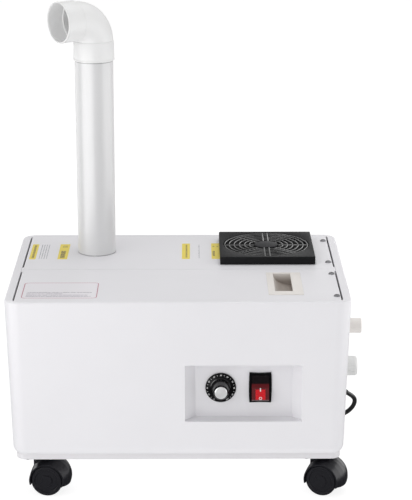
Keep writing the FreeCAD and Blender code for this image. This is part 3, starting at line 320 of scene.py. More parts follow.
def open_foam():
    """Black reticulated foam: pores and the strands between them."""
    paint = Paint("open_foam")
    pores = paint.node("TexVoronoi", None, {"Vector": paint.place(), "Scale": 620.0})
    tone = paint.blend(pores, (0.003, 0.003, 0.0035, 1), (0.014, 0.014, 0.015, 1))
    return paint.dress(Base_Color=tone, Roughness=0.95, Normal=paint.bump(pores, 0.0008))


BOARD_FACE = 74.8


def board_finish():
    """Solder mask, with fine copper runs under it and darker parts above it."""
    paint = Paint("board_finish")
    height = paint.axes((0, 0, 0))[2]
    runs = paint.node("TexBrick", None, {
        "Vector": paint.place(scale=60.0), "Scale": 4.0, "Color1": (0.03, 0.20, 0.07, 1),
        "Color2": (0.02, 0.13, 0.05, 1), "Mortar": (0.12, 0.34, 0.12, 1)})
    tall = height > BOARD_FACE
    tone = paint.blend(tall, runs, (0.09, 0.09, 0.10, 1))
    skin = paint.noise(500.0)
    return paint.dress(Base_Color=tone, Roughness=0.38 + tall * 0.12, Normal=paint.bump(skin, 0.00005))


ROCKER_SHADE_ENDS = (5.0, 6.8)    # over the rocker's middle, where the painted shade begins to darken the red and where the red is gone
WINDOW_HALF = 6.1


def dark_rocker():
    """Smoky red plastic, with painted shade that turns its upper half nearly black."""
    paint = Paint("dark_rocker")
    cloud = paint.noise(120.0, 2.0)
    height = paint.axes((SWITCH[0] * MM, 0, SWITCH[1] * MM))[2]
    # painted shade: the rocker's upper half goes near-black
    shaded_upper = paint.node("MapRange", None, {0: height, 1: ROCKER_SHADE_ENDS[0], 2: ROCKER_SHADE_ENDS[1]})
    red = paint.blend(cloud, (0.085, 0.005, 0.008, 1), (0.125, 0.009, 0.012, 1))
    tone = paint.blend(shaded_upper, red, (0.007, 0.005, 0.006, 1))
    skin = paint.noise(700.0)
    return paint.dress(Base_Color=tone, Roughness=0.20 + cloud * 0.08,
                       Normal=paint.bump(skin, 0.00002), Specular_IOR_Level=0.35)


def red_window():
    """Clear red window with a fine diffusing pattern behind it, and a faint painted glow."""
    paint = Paint("red_window")
    grid = paint.node("TexVoronoi", None, {"Vector": paint.place(), "Scale": 900.0})
    across = paint.axes((SWITCH[0] * MM, 0, SWITCH[1] * MM))[0]
    border = abs(across) > WINDOW_HALF
    clear = paint.blend(grid, (0.60, 0.007, 0.014, 1), (0.46, 0.004, 0.010, 1))
    tone = paint.blend(border, clear, (0.11, 0.006, 0.009, 1))
    # painted glow: a faint emission in the window's own red, with no lamp behind it
    return paint.dress(Base_Color=tone, Roughness=0.22 + grid * 0.1, Normal=paint.bump(grid, 0.00003),
                       Emission_Color=tone, Emission_Strength=0.12, Specular_IOR_Level=0.3)


def white_ink(name, colour=(0.85, 0.85, 0.85)):
    paint = Paint(name)
    cover = paint.noise(1500.0, 2.0)
    tone = paint.blend(cover, shade(colour, 0.88), shade(colour))
    return paint.dress(Base_Color=tone, Roughness=0.5 + cover * 0.1)


LABEL_YELLOW = (0.84, 0.68, 0.085)
LABEL_INK = (0.115, 0.085, 0.030)


def label_paper(name, centre, bars):
    """Yellow vinyl with plain printed bars: (x, y, half width, half length, strength)."""
    paint = Paint(name)
    x, y, _ = paint.axes(centre)
    broken = 0.5 + 0.5 * (paint.noise(520.0, 1.0, (1, 1, 0)) > 0.46)
    ink = 0.0
    for bar_x, bar_y, half_wide, half_long, strength in bars:
        bar = (abs(x - bar_x) < half_wide) * (abs(y - bar_y) < half_long) * strength
        ink = bar + ink
    cloud = paint.noise(90.0, 2.0)
    yellow = paint.blend(cloud, shade(LABEL_YELLOW, 0.95), shade(LABEL_YELLOW, 1.04))
    tone = paint.blend(ink * broken, yellow, shade(LABEL_INK))
    skin = paint.noise(800.0)
    return paint.dress(Base_Color=tone, Roughness=0.33 + cloud * 0.08,
                       Normal=paint.bump(skin, 0.00002))


NOTICE_RED = (0.45, 0.16, 0.22)
BORDER_CORNER = 5.0
BORDER_MARGIN = 1.0
BORDER_WIDE = 0.55
LINE_REACHES = (0.98, 0.55, 0.92, 0.97)
LINE_TOP = -9.0
LINE_STEP = 5.4
LINE_MARGIN = 6.0
LINE_HALF = 1.15


def notice_film(centre, half_x, half_y):
    """Clear-coated white film: a thin red border with round corners, and plain grey lines low down."""
    paint = Paint("notice_film")
    x, y, _ = paint.axes(centre)
    inset = BORDER_MARGIN + BORDER_CORNER
    out_x = (abs(x) - (half_x - inset)).larger(0.0)
    out_y = (abs(y) - (half_y - inset)).larger(0.0)
    rim = abs((out_x * out_x + out_y * out_y) ** 0.5 - BORDER_CORNER)
    border = rim < BORDER_WIDE
    ink = 0.0
    for number, reach in enumerate(LINE_REACHES):
        line_y = LINE_TOP - LINE_STEP * number
        half_long = (half_x - LINE_MARGIN) * reach
        middle = half_long + LINE_MARGIN - half_x
        line = (abs(y - line_y) < LINE_HALF) * (abs(x - middle) < half_long)
        ink = line + ink
    breaks = paint.noise(420.0, 2.0, (1, 0.35, 0)) > 0.45
    film = paint.blend(paint.noise(30.0), shade(WHITE, 0.99), shade((0.83, 0.795, 0.835)))
    lined = paint.blend(ink * (0.45 + breaks * 0.5), film, (0.36, 0.33, 0.38, 1))
    tone = paint.blend(border, lined, shade(NOTICE_RED))
    skin = paint.noise(500.0)
    return paint.dress(Base_Color=tone, Roughness=0.28, Normal=paint.bump(skin, 0.00002))


def floor_finish():
    """Pale seamless floor that glows a little, so that shadows on it stay light."""
    paint = Paint("studio_floor")
    cloud = paint.noise(3.0)
    tone = paint.blend(cloud, (0.30, 0.30, 0.30, 1), (0.32, 0.32, 0.32, 1))
    return paint.dress(Base_Color=tone, Roughness=0.9, Specular_IOR_Level=0.0,
                       Emission_Color=(1, 1, 1, 1), Emission_Strength=FLOOR_GLOW)


def dress_nodes():
    """Gives each node of the frame its finish."""
    black = moulded("fan_black", (0.008, 0.008, 0.009), 0.42, 0.1, 0.00006, 700.0,
                    Specular_IOR_Level=0.3)
    gloss = moulded("polished_black", (0.004, 0.004, 0.005), 0.16, 0.1, 0.00001,
                    Specular_IOR_Level=0.3)
    tank = moulded("tank_plastic", (0.74, 0.78, 0.80), 0.48, 0.02, Subsurface_Weight=0.15)
    nylon = moulded("caster_nylon", (0.010, 0.010, 0.013), 0.30, 0.12, 0.00006, 500.0,
                    Specular_IOR_Level=0.35)
    rubber = moulded("seal_rubber", (0.012, 0.012, 0.012), 0.7, 0.1, 0.00012, 700.0)
    fitting = moulded("fitting_white", (0.78, 0.785, 0.775), 0.42, 0.012)
    ivory = moulded("ivory_plastic", (0.81, 0.775, 0.74), 0.42, 0.012, 0.00004)
    steel = plated("zinc_steel", (0.62, 0.62, 0.64), 0.34)
    dull_zinc = plated("cover_screw_zinc", (0.26, 0.26, 0.27), 0.4)
    stainless = plated("brushed_stainless", (0.58, 0.58, 0.59), 0.30)
    white = cabinet_white()
    finishes = {
        white: ["body_shell", "front_cover", "control_tray"],
        moulded("board_white", (0.72, 0.71, 0.73), 0.5, 0.02, 0.00004): ["base_board"],
        printed_white(): ["rear_cover"],
        pipe_white(): ["mist_pipe"],
        elbow_white(): ["mist_elbow"],
        ivory: ["finger_pull", "inlet_stem", "inlet_locknut"],
        fitting: ["drain_cap", "drain_spout", "drain_locknut", "outlet_collar", "float_ball",
                  "level_stem", "level_float"],
        tank: ["tank"],
        black: ["fan_guard", "fan_guard_base", "fan_frame", "fan_rotor"],
        gloss: ["switch_housing"],
        dial_black(): ["dial_knob"],
        dark_rocker(): ["switch_rocker"],
        red_window(): ["switch_lens"],
        spun_metal(): ["knob_cap"],
        steel: ["base_screws", "fan_screws", "dial_shaft", "caster_mounts", "power_supply",
                "potentiometer", "float_arm"],
        dull_zinc: ["front_cover_screws", "rear_cover_screws"],
        stainless: ["mist_unit_base", "mist_unit_cover"],
        plated("disc_film", (0.74, 0.68, 0.52), 0.38): ["ceramic_discs"],
        rubber: ["cover_gasket", "drain_cap_seal", "cord_gland"],
        cord_sheath(): ["power_cord", "cord_coil", "cord_tail", "plug"],
        open_foam(): ["fan_filter"],
        board_finish(): ["control_board"],
        nylon: [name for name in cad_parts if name.startswith("caster_")
                and name != "caster_mounts"],
    }
    for finish, names in finishes.items():
        for name in names:
            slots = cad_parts[name].data.materials
            slots.clear()
            slots.append(finish)


def cord_sheath():
    return moulded("cord_sheath", (0.014, 0.014, 0.015), 0.38, 0.1, 0.00005, 900.0)


# ---------------------------------------------------------------- workshop helpers
def deselect():
    bpy.ops.object.select_all(action="DESELECT")


def edit():
    bpy.ops.object.mode_set(mode="EDIT")


def leave():
    bpy.ops.object.mode_set(mode="OBJECT")


def pick(piece):
    deselect()
    piece.select_set(True)
    bpy.context.view_layer.objects.active = piece


def fix():
    """Brings the active piece's place, turn and size into its mesh."""
    bpy.ops.object.transform_apply(location=True, rotation=True, scale=True)


def settle(piece, name, finish):
    """Brings the piece's place into its mesh, and gives it its name and finish."""
    pick(piece)
    fix()
    piece.name = name
    piece.data.name = name
    piece.data.materials.clear()
    piece.data.materials.append(finish)
    return piece


def tidy_normals(piece):
    """Merges doubles and turns every face outwards."""
    pick(piece)
    edit()
    bpy.ops.mesh.select_all(action="SELECT")
    bpy.ops.mesh.remove_doubles(threshold=0.000002)
    bpy.ops.mesh.normals_make_consistent(inside=False)
    leave()


def smooth(piece, degrees=35):
    pick(piece)
    bpy.ops.object.shade_smooth_by_angle(angle=math.radians(degrees))


def joined(pieces):
    deselect()
    for piece in pieces:
        piece.select_set(True)
    bpy.context.view_layer.objects.active = pieces[0]
    bpy.ops.object.join()
    return bpy.context.object


def thin_plate(x0, x1, y0, y1, z, thick, corner, segments=4):
    """Flat plate with round corners, lying at a height."""
    deselect()
    middle = ((x0 + x1) / 2 * MM, (y0 + y1) / 2 * MM, z * MM)
    bpy.ops.mesh.primitive_plane_add(size=MM, location=middle)
    piece = bpy.context.object
    piece.scale = (x1 - x0, y1 - y0, 1)
    fix()
    edit()
    bpy.ops.mesh.select_all(action="SELECT")
    bpy.ops.mesh.bevel(offset=corner * MM, segments=segments, affect="VERTICES")
    bpy.ops.mesh.extrude_region_move(TRANSFORM_OT_translate={"value": (0, 0, thick * MM)})
    leave()
    tidy_normals(piece)
    return piece


def rounded_block(size, edge, segments):
    """Block about the origin, with its edges bevelled."""
    deselect()
    bpy.ops.mesh.primitive_cube_add(size=MM)
    block = bpy.context.object
    block.scale = size
    bpy.ops.object.transform_apply(location=False, rotation=False, scale=True)
    edit()
    bpy.ops.mesh.select_all(action="SELECT")
    bpy.ops.mesh.bevel(offset=edge * MM, segments=segments)
    leave()
    return block


def draw_out(profile, start, along, foot=(0, 0, 0)):
    """Carries the selected ring on through (radius, distance) pairs along a line from a foot."""
    radius, reach = start
    flat = [0 if abs(c) > 0.5 else 1 for c in along]
    for next_radius, next_reach in profile:
        step = [c * (next_reach - reach) * MM for c in along]
        bpy.ops.mesh.extrude_region_move(TRANSFORM_OT_translate={"value": step})
        share = next_radius / radius
        spot = [(f + c * next_reach) * MM for f, c in zip(foot, along)]
        bpy.ops.transform.resize(value=[share if f else 1 for f in flat], center_override=spot)
        radius, reach = next_radius, next_reach


def combine(piece, other, operation):
    """Joins another piece to this one, or cuts it away, and removes the other."""
    change = piece.modifiers.new("combine", "BOOLEAN")
    change.operation = operation
    change.solver = "EXACT"
    change.object = other
    pick(piece)
    bpy.ops.object.modifier_apply(modifier="combine")
    bpy.data.objects.remove(other)


UP, DOWN, RIGHT = (0, 0, 1), (0, 0, -1), (1, 0, 0)


# ---------------------------------------------------------------- mist elbow
OUTLET = (-110.0, 72.0, 578.0)
MOUTH_YAW = 215.7
BEND = 28.0
BEND_STEPS = 24
LEG = 53.5              # from the bend's corner to the socket's end
MOUTH_R = 26.7
LIP = [(25.5, LEG), (25.35, LEG - 0.2)]
# radius and distance from the corner, from a socket's end to the bend
SOCKET_OUTSIDE = [(26.85, LEG - 0.1), (26.95, LEG - 0.4), (26.95, 51.4), (26.8, 51.1), (26.5, 50.9),
                  (26.5, 29.0), (26.3, 28.4), (25.9, 28.1), (25.4, BEND)]
SOCKET_INSIDE = [(25.1, LEG - 2.2), (25.1, 32.0), (25.0, 31.7), (24.6, 31.5), (23.2, 31.5),
                 (23.0, 31.3), (23.0, BEND)]


def make_elbow(finish):
    """Tight bend with a rounded bead at each socket, drawn out as one closed skin."""
    deselect()
    bpy.ops.mesh.primitive_circle_add(vertices=96, radius=MOUTH_R * MM, location=(0, 0, -LEG * MM))
    piece = bpy.context.object
    fix()
    edit()
    bpy.ops.mesh.select_all(action="SELECT")
    bend = {"steps": BEND_STEPS, "center": (BEND * MM, 0, -BEND * MM), "axis": (0, 1, 0)}
    draw_out(SOCKET_OUTSIDE, (MOUTH_R, LEG), DOWN)
    bpy.ops.mesh.spin(angle=math.radians(-90), **bend)
    draw_out(SOCKET_OUTSIDE[-2::-1] + [(MOUTH_R, LEG)] + LIP, SOCKET_OUTSIDE[-1], RIGHT)
    draw_out(SOCKET_INSIDE, LIP[-1], RIGHT)
    bpy.ops.mesh.spin(angle=math.radians(90), **bend)
    draw_out(SOCKET_INSIDE[-2::-1] + LIP[::-1] + [(MOUTH_R, LEG)], SOCKET_INSIDE[-1], DOWN)
    leave()
    piece.matrix_world = (Matrix.Translation(Vector(OUTLET) * MM)
                          @ Matrix.Rotation(math.radians(MOUTH_YAW), 4, "Z"))
    settle(piece, "elbow_moulding", finish)
    tidy_normals(piece)
    smooth(piece, 40)
    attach(piece, "mist_elbow")
    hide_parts("mist_elbow")


# ---------------------------------------------------------------- fan grille
FAN = (117.0, 69.0)
GRILLE_HALF = 62.5
GRILLE_LOW = 264.3
GRILLE_TOP = 274.5
GRILLE_RINGS = (22.5, 29.0, 36.0, 43.0, 49.7, 55.6)
PORT_R = 57.5
HUB_R = 15.4
HUB_DEEP = 2.5
RIM = 2.0               # the frame's underside, in from its skirt
FRAME_DEEP = 2.5
RIB_LONG = 116.0


def add_bar(middle, size, turn, edge):
    """Bar with rounded edges: its middle and its whole size."""
    bar = rounded_block(size, edge, 3)
    bar.matrix_world = Matrix.Translation(Vector(middle) * MM) @ Matrix.Rotation(turn, 4, "Z")
    fix()
    return bar


def pick_open_loops(piece, height):
    """Selects the open edges at a height."""
    bpy.ops.mesh.select_mode(type="EDGE")
    bpy.ops.mesh.select_all(action="DESELECT")
    bpy.ops.mesh.select_non_manifold(extend=False, use_wire=True, use_boundary=True,
                                     use_multi_face=False, use_non_contiguous=False, use_verts=False)
    leave()
    points = piece.data.vertices
    for edge in piece.data.edges:
        ends = [points[i].co.z / MM for i in edge.vertices]
        edge.select = edge.select and max(abs(z - height) for z in ends) < 0.05
    edit()


def add_grille_frame():
    """Square skirt with a rounded top edge, closed round the port."""
    deselect()
    half, top = GRILLE_HALF, GRILLE_TOP
    under = top - FRAME_DEEP
    bpy.ops.mesh.primitive_plane_add(size=2 * (half - RIM) * MM, location=(0, 0, under * MM))
    frame_piece = bpy.context.object
    fix()
    edit()
    bpy.ops.mesh.bevel(offset=1.6 * MM, segments=4, affect="VERTICES")
    bpy.ops.mesh.delete(type="ONLY_FACE")
    bpy.ops.mesh.select_all(action="SELECT")
    draw_out([(half - RIM, GRILLE_LOW), (half, GRILLE_LOW), (half, top - 1.0), (half - 0.08, top - 0.6),
              (half - 0.3, top - 0.3), (half - 0.6, top - 0.08), (half - 1.0, top)],
             (half - RIM, under), UP)
    bpy.ops.mesh.primitive_circle_add(vertices=96, radius=PORT_R * MM, location=(0, 0, under * MM))
    draw_out([(PORT_R, top - 0.5), (PORT_R + 0.15, top - 0.15), (PORT_R + 0.5, top)],
             (PORT_R, under), UP)
    for loop_height in (GRILLE_TOP, under):
        pick_open_loops(frame_piece, loop_height)
        bpy.ops.mesh.bridge_edge_loops()
    leave()
    frame_piece.location = (FAN[0] * MM, FAN[1] * MM, 0)
    fix()
    return frame_piece


def make_grille(finish):
    """Guard over the fan: frame, oval-section rings, a pair of long ribs, low cross ribs and a hub."""
    parts = [add_grille_frame()]
    for radius in GRILLE_RINGS:
        deselect()
        bpy.ops.mesh.primitive_torus_add(major_radius=radius * MM, minor_radius=0.85 * MM,
                                         major_segments=80, minor_segments=10)
        ring = bpy.context.object
        ring.scale = (1, 1, 1.3)
        ring.location = (FAN[0] * MM, FAN[1] * MM, (GRILLE_TOP - 1.4) * MM)
        fix()
        parts.append(ring)
    for side in (-3.25, 3.25):
        parts.append(add_bar((FAN[0] + side, FAN[1], GRILLE_TOP - 1.3), (1.6, RIB_LONG, 2.4), 0, 0.5))
    for degrees in (0, 45, 135):
        parts.append(add_bar((FAN[0], FAN[1], GRILLE_TOP - 1.9), (RIB_LONG, 2.4, 1.2),
                             math.radians(degrees), 0.4))
    deselect()
    middle = (FAN[0] * MM, FAN[1] * MM, (GRILLE_TOP - HUB_DEEP / 2) * MM)
    bpy.ops.mesh.primitive_cylinder_add(vertices=64, radius=HUB_R * MM, depth=HUB_DEEP * MM,
                                        location=middle)
    hub = bpy.context.object
    rounding = hub.modifiers.new("edges", "BEVEL")
    rounding.width = 0.6 * MM
    rounding.segments = 3
    bpy.ops.object.modifier_apply(modifier="edges")
    parts.append(hub)
    grille = settle(joined(parts), "fan_grille", finish)
    tidy_normals(grille)
    smooth(grille, 40)
    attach(grille, "fan_guard")
    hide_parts("fan_guard")


# ---------------------------------------------------------------- finger pull
PULL = (113.0, 157.0, -126.0, -31.0)
PULL_TOP = 264.8
PULL_FLOOR = 249.5
FLANGE = 0.8
TUB_DEEP = 17.0
TUB_INSET = 2.5
TUB_SLANT = ((131.5, 246.0), (-0.69, 0, -0.72))    # a point and the normal of its cut-off corner
SCOOP = (121.6, 144.0, -112.0, -36.0)
SCOOP_PAST_LIP = 2.0
LIP_UNDER = 262.4
LIP_WIDE = 9.2


def make_pull(finish):
    """Flush pull: a thin flange, a scoop that curves down to the right, and a lip over its deep end."""
    x0, x1, y0, y1 = PULL
    x_mid, y_mid = (x0 + x1) / 2, (y0 + y1) / 2
    scoop_x0, lip_x, scoop_y0, scoop_y1 = SCOOP
    scoop_mid, scoop_long = (scoop_y0 + scoop_y1) / 2, scoop_y1 - scoop_y0
    block = add_bar((x_mid, y_mid, PULL_TOP - FLANGE / 2), (x1 - x0, y1 - y0, FLANGE), 0, 0.35)
    tub = add_bar((x_mid, y_mid, PULL_TOP - 0.4 - TUB_DEEP / 2),
                  (x1 - x0 - 2 * TUB_INSET, y1 - y0 - 2 * TUB_INSET, TUB_DEEP), 0, 0.8)
    edit()
    bpy.ops.mesh.select_all(action="SELECT")
    (slant_x, slant_z), normal = TUB_SLANT
    bpy.ops.mesh.bisect(plane_co=(slant_x * MM, 0, slant_z * MM), plane_no=normal,
                        clear_outer=True, use_fill=True)
    leave()
    combine(block, tub, "UNION")
    deselect()
    centre_x = lip_x + SCOOP_PAST_LIP
    bpy.ops.mesh.primitive_cylinder_add(vertices=96, radius=1, depth=scoop_long * MM,
                                        rotation=(math.radians(90), 0, 0))
    scoop = bpy.context.object
    fix()
    scoop.scale = ((centre_x - scoop_x0) * MM, 1, (PULL_TOP - PULL_FLOOR) * MM)
    scoop.location = (centre_x * MM, scoop_mid * MM, (PULL_TOP + 0.01) * MM)
    fix()
    edit()
    bpy.ops.mesh.select_all(action="SELECT")
    bpy.ops.mesh.bisect(plane_co=(lip_x * MM, 0, 0), plane_no=(1, 0, 0), clear_outer=True, use_fill=True)
    leave()
    combine(block, scoop, "DIFFERENCE")
    under = add_bar((lip_x + 3.4, scoop_mid, (PULL_FLOOR + LIP_UNDER) / 2),
                    (LIP_WIDE, scoop_long - 0.04, LIP_UNDER - PULL_FLOOR), 0, 0.6)
    combine(block, under, "DIFFERENCE")
    pull = settle(block, "pull_moulding", finish)
    tidy_normals(pull)
    smooth(pull, 30)
    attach(pull, "front_cover")
    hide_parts("finger_pull")


# ---------------------------------------------------------------- labels on the covers
COVER_TOP = 264.0
LABEL_THICK = 0.12
# name, x0, x1, y0, y1, bars as label_paper takes them
LABELS = [
    ("label_far_left", -198.5, -190.0, 34.0, 106.0, [(0.2, 0, 1.6, 31, 0.75)]),
    ("label_left", -161.0, -148.0, 34.0, 106.0, [(-0.4, -14, 3.0, 17, 0.85),
                                                 (0.6, 24, 3.4, 5, 0.45)]),
    ("label_middle", 4.0, 14.7, 34.0, 108.0, [(0.8, 0, 1.1, 31, 0.75)]),
    ("label_right", 43.5, 55.0, 34.0, 109.0, [(-2.6, -12, 1.6, 12, 0.8), (-2.8, 22, 1.2, 3, 0.6),
                                              (2.6, 22, 1.2, 3, 0.5)]),
]
NOTICE = (-195.0, -100.0, -138.0, -72.0)


def make_labels():
    """Thin labels on the rear cover and a notice sheet on the front one."""
    for name, x0, x1, y0, y1, bars in LABELS:
        piece = thin_plate(x0, x1, y0, y1, COVER_TOP, LABEL_THICK, 1.0)
        centre = ((x0 + x1) / 2 * MM, (y0 + y1) / 2 * MM, COVER_TOP * MM)
        settle(piece, name, label_paper(name + "_vinyl", centre, bars))
        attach(piece, "rear_cover")
    x0, x1, y0, y1 = NOTICE
    piece = thin_plate(x0, x1, y0, y1, COVER_TOP, LABEL_THICK, 5.5, 6)
    centre = ((x0 + x1) / 2 * MM, (y0 + y1) / 2 * MM, COVER_TOP * MM)
    settle(piece, "notice_sheet", notice_film(centre, (x1 - x0) / 2, (y1 - y0) / 2))
    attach(piece, "front_cover")


# ---------------------------------------------------------------- dial and switch marks
DIAL = (53.3, 146.1)
KNOB_BACK = -136.5
SCALE_SLOPE = math.atan2(2.0, 5.8)
SKIRT_R = 18.4
SKIRT_EDGE = 2.6        # the skirt's thickness at that radius
GRIP_R = 13.4
SCALE_R = 16.8
TICK_R = 17.0
SCALE_START = 240.0     # degrees, anticlockwise from the right
SCALE_STEP = 30.0
NUMERALS = 11


def skirt_frame(angle, radius):
    """Matrix of a spot on the dial's coned skirt: X along the reading direction, Y outwards."""
    outwards = Vector((math.cos(angle), 0, math.sin(angle)))
    front = Vector((0, -1, 0))
    normal = outwards * math.sin(SCALE_SLOPE) + front * math.cos(SCALE_SLOPE)
    up = outwards * math.cos(SCALE_SLOPE) - front * math.sin(SCALE_SLOPE)
    across = up.cross(normal)
    height = SKIRT_EDGE + (SKIRT_R - radius) * math.tan(SCALE_SLOPE)
    spot = Vector((DIAL[0], KNOB_BACK - height, DIAL[1])) + outwards * radius
    turn = Matrix((across, up, normal)).transposed().to_4x4()
    return Matrix.Translation(spot * MM) @ turn


def make_numeral(text, angle):
    deselect()
    bpy.ops.object.text_add()
    numeral = bpy.context.object
    numeral.data.body = text
    numeral.data.size = 2.5 * MM
    numeral.data.align_x = "CENTER"
    numeral.data.align_y = "CENTER"
    numeral.data.extrude = 0.03 * MM
    numeral.data.offset = 0.02 * MM
    bpy.ops.object.convert(target="MESH")
    numeral = bpy.context.object
    numeral.matrix_world = skirt_frame(angle, SCALE_R)
    fix()
    return numeral


def make_tick(angle, wide, long):
    tick = rounded_block((wide, long, 0.06), 0.02, 1)
    tick.matrix_world = skirt_frame(angle, TICK_R)
    fix()
    return tick


def make_dial_scale(ink):
    """Numbers from 0 to 100 round the skirt, with a tick between each two."""
    marks = []
    for number in range(NUMERALS):
        angle = math.radians(SCALE_START - SCALE_STEP * number)
        marks.append(make_numeral(str(10 * number), angle))
        if number < NUMERALS - 1:
            marks.append(make_tick(angle - math.radians(SCALE_STEP / 2), 0.4, 1.3))
    scale = settle(joined(marks), "dial_scale", ink)
    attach(scale, "dial")


SWITCH = (103.0, 146.2)
ROCKER_AXIS_Y = -137.0
ROCKER_TILT = 12.0
FACET_LEAN = 11.2
ROCKER_DISH = 4.6
MARK_PROUD = 0.3
BAR_DROP = 2.5
RING_DROP = 13.1


def facet_frame(drop):
    """Matrix of a spot on the rocker's lower facet, a distance below its middle; Z out of it."""
    lean = math.radians(FACET_LEAN)
    tilt = math.radians(ROCKER_TILT)
    centre = Vector((SWITCH[0], ROCKER_AXIS_Y, SWITCH[1]))
    spot = Vector((0, -ROCKER_DISH - MARK_PROUD - drop * math.tan(lean), -drop))
    turned = Matrix.Rotation(-tilt, 3, "X") @ spot
    face = Matrix.Rotation(math.radians(90) - lean - tilt, 4, "X")
    return Matrix.Translation((centre + turned) * MM) @ face


def make_switch_marks(ink):
    """White bar near the rocker's middle and white ring at its raised end."""
    bar = rounded_block((1.3, 4.4, 0.5), 0.12, 2)
    bar.matrix_world = facet_frame(BAR_DROP)
    fix()
    deselect()
    bpy.ops.mesh.primitive_torus_add(major_radius=1.6 * MM, minor_radius=0.32 * MM,
                                     major_segments=40, minor_segments=8)
    ring = bpy.context.object
    ring.scale = (1, 1, 0.5)
    bpy.ops.object.transform_apply(location=False, rotation=False, scale=True)
    ring.matrix_world = facet_frame(RING_DROP)
    fix()
    marks = settle(joined([bar, ring]), "switch_marks", ink)
    smooth(marks)
    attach(marks, "rocker")


# ---------------------------------------------------------------- mains cord
CORD_R = 3.0
CORD_ROUTE = [
    (227.0, 43.4, 71.9),
    (235.5, 48.8, 65.4),
    (240.5, 56.5, 56.1),
    (239.2, 67.4, 43.1),
    (233.0, 83.0, 28.8),
    (227.3, 103.2, 17.3),
    (226.0, 125.0, 9.4),
    (226.6, 146.0, 4.8),
    (217.0, 163.5, 3.2),
    (198.0, 170.5, 3.0),
    (176.0, 170.8, 3.1),
    (154.0, 169.2, 3.0),
]
TAIL_ROUTE = [
    (120.0, 170.4, 9.0),
    (104.0, 167.4, 8.4),
    (88.0, 167.0, 7.4),
    (73.0, 169.0, 7.0),
]
COIL = (138.0, 208.0)
COIL_COLUMNS = (39.0, 33.0, 27.0, 27.0, 33.0, 39.0)
COIL_ROWS = (3.0, 3.0, 3.0, 9.0, 9.0, 9.0)
POINTS_A_TURN = 14
EASE_FROM = 0.72        # share of a turn after which it eases across to the next
PLUG_YAW = 172.4
TIE_HALF = (9.5, 6.35)
TIE_WIDE = 9.0
TIE_PLACE = (-4.5, 33.0, 6.4)
PIN_R = 2.0
PIN_SIDE = 8.5
PIN_FOOT = 43.5
SLEEVE_END = 53.5
PIN_PROFILE = ((PIN_R, SLEEVE_END), (1.85, 53.6), (1.85, 61.6), (1.3, 62.7), (0.6, 63.0))
# half width, half thickness and distance of the plug's body, after its ribbed boot
PLUG_BODY = [(5.2, 5.0, 16.2), (9.6, 6.4, 17.6), (11.4, 6.9, 19.6), (12.0, 7.0, 22.0),
             (11.2, 6.5, 27.0), (10.9, 6.3, 31.0), (11.3, 6.5, 36.0), (12.0, 7.0, 40.5),
             (12.0, 7.0, 43.4), (11.6, 6.6, 44.0)]


def coil_points():
    """Six turns lying beside and on each other, each easing across to the next near its end."""
    points = []
    turns = len(COIL_COLUMNS)
    widen = 1 / math.cos(math.pi / POINTS_A_TURN) ** 0.5
    for number in range(turns * POINTS_A_TURN + 1):
        turn, step = divmod(number, POINTS_A_TURN)
        here = min(turn, turns - 1)
        after = min(turn + 1, turns - 1)
        share = max(0.0, (step / POINTS_A_TURN - EASE_FROM) / (1 - EASE_FROM))
        radius = COIL_COLUMNS[here] + share * (COIL_COLUMNS[after] - COIL_COLUMNS[here])
        height = COIL_ROWS[here] + share * (COIL_ROWS[after] - COIL_ROWS[here])
        angle = math.radians(-90 - 360 * number / POINTS_A_TURN)
        points.append((COIL[0] + radius * widen * math.cos(angle),
                       COIL[1] + radius * widen * math.sin(angle), height))
    return points


def make_cord(finish):
    """The whole lead as one line: down from the gland, round the corner, the coil and the tail."""
    line = bpy.data.curves.new("mains_cord", "CURVE")
    line.dimensions = "3D"
    line.bevel_depth = CORD_R * MM
    line.bevel_resolution = 5
    line.resolution_u = 8
    line.use_fill_caps = True
    spline = line.splines.new("NURBS")
    points = CORD_ROUTE + coil_points() + TAIL_ROUTE
    spline.points.add(len(points) - 1)
    for control, point in zip(spline.points, points):
        control.co = (point[0] * MM, point[1] * MM, point[2] * MM, 1.0)
    spline.order_u = 3
    spline.use_endpoint_u = True
    line.materials.append(finish)
    cord = bpy.data.objects.new("mains_cord", line)
    bpy.context.scene.collection.objects.link(cord)
    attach(cord, "root")
    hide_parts("power_cord", "cord_coil", "cord_tail")
    return cord


def make_tie(finish):
    """Flat strap closed round the coil's turns, on the side away from the plug."""
    deselect()
    bpy.ops.mesh.primitive_plane_add(size=2)
    tie = bpy.context.object
    tie.scale = (TIE_HALF[0] * MM, TIE_HALF[1] * MM, 1)
    fix()
    edit()
    bpy.ops.mesh.select_all(action="SELECT")
    bpy.ops.mesh.bevel(offset=3.0 * MM, segments=5, affect="VERTICES")
    bpy.ops.mesh.delete(type="ONLY_FACE")
    bpy.ops.mesh.select_all(action="SELECT")
    bpy.ops.mesh.extrude_region_move(TRANSFORM_OT_translate={"value": (0, 0, TIE_WIDE * MM)})
    leave()
    solid = tie.modifiers.new("thickness", "SOLIDIFY")
    solid.thickness = 0.7 * MM
    solid.offset = 0.0
    bevel = tie.modifiers.new("edges", "BEVEL")
    bevel.width = 0.2 * MM
    bevel.segments = 2
    for modifier in ("thickness", "edges"):
        bpy.ops.object.modifier_apply(modifier=modifier)
    quarter = math.radians(90)
    place = Vector((*COIL, 0)) + Vector(TIE_PLACE)
    tie.matrix_world = (Matrix.Translation(place * MM) @ Matrix.Rotation(quarter, 4, "Y")
                        @ Matrix.Rotation(quarter, 4, "Z"))
    settle(tie, "coil_tie", finish)
    tidy_normals(tie)
    smooth(tie)
    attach(tie, "root")
    return tie


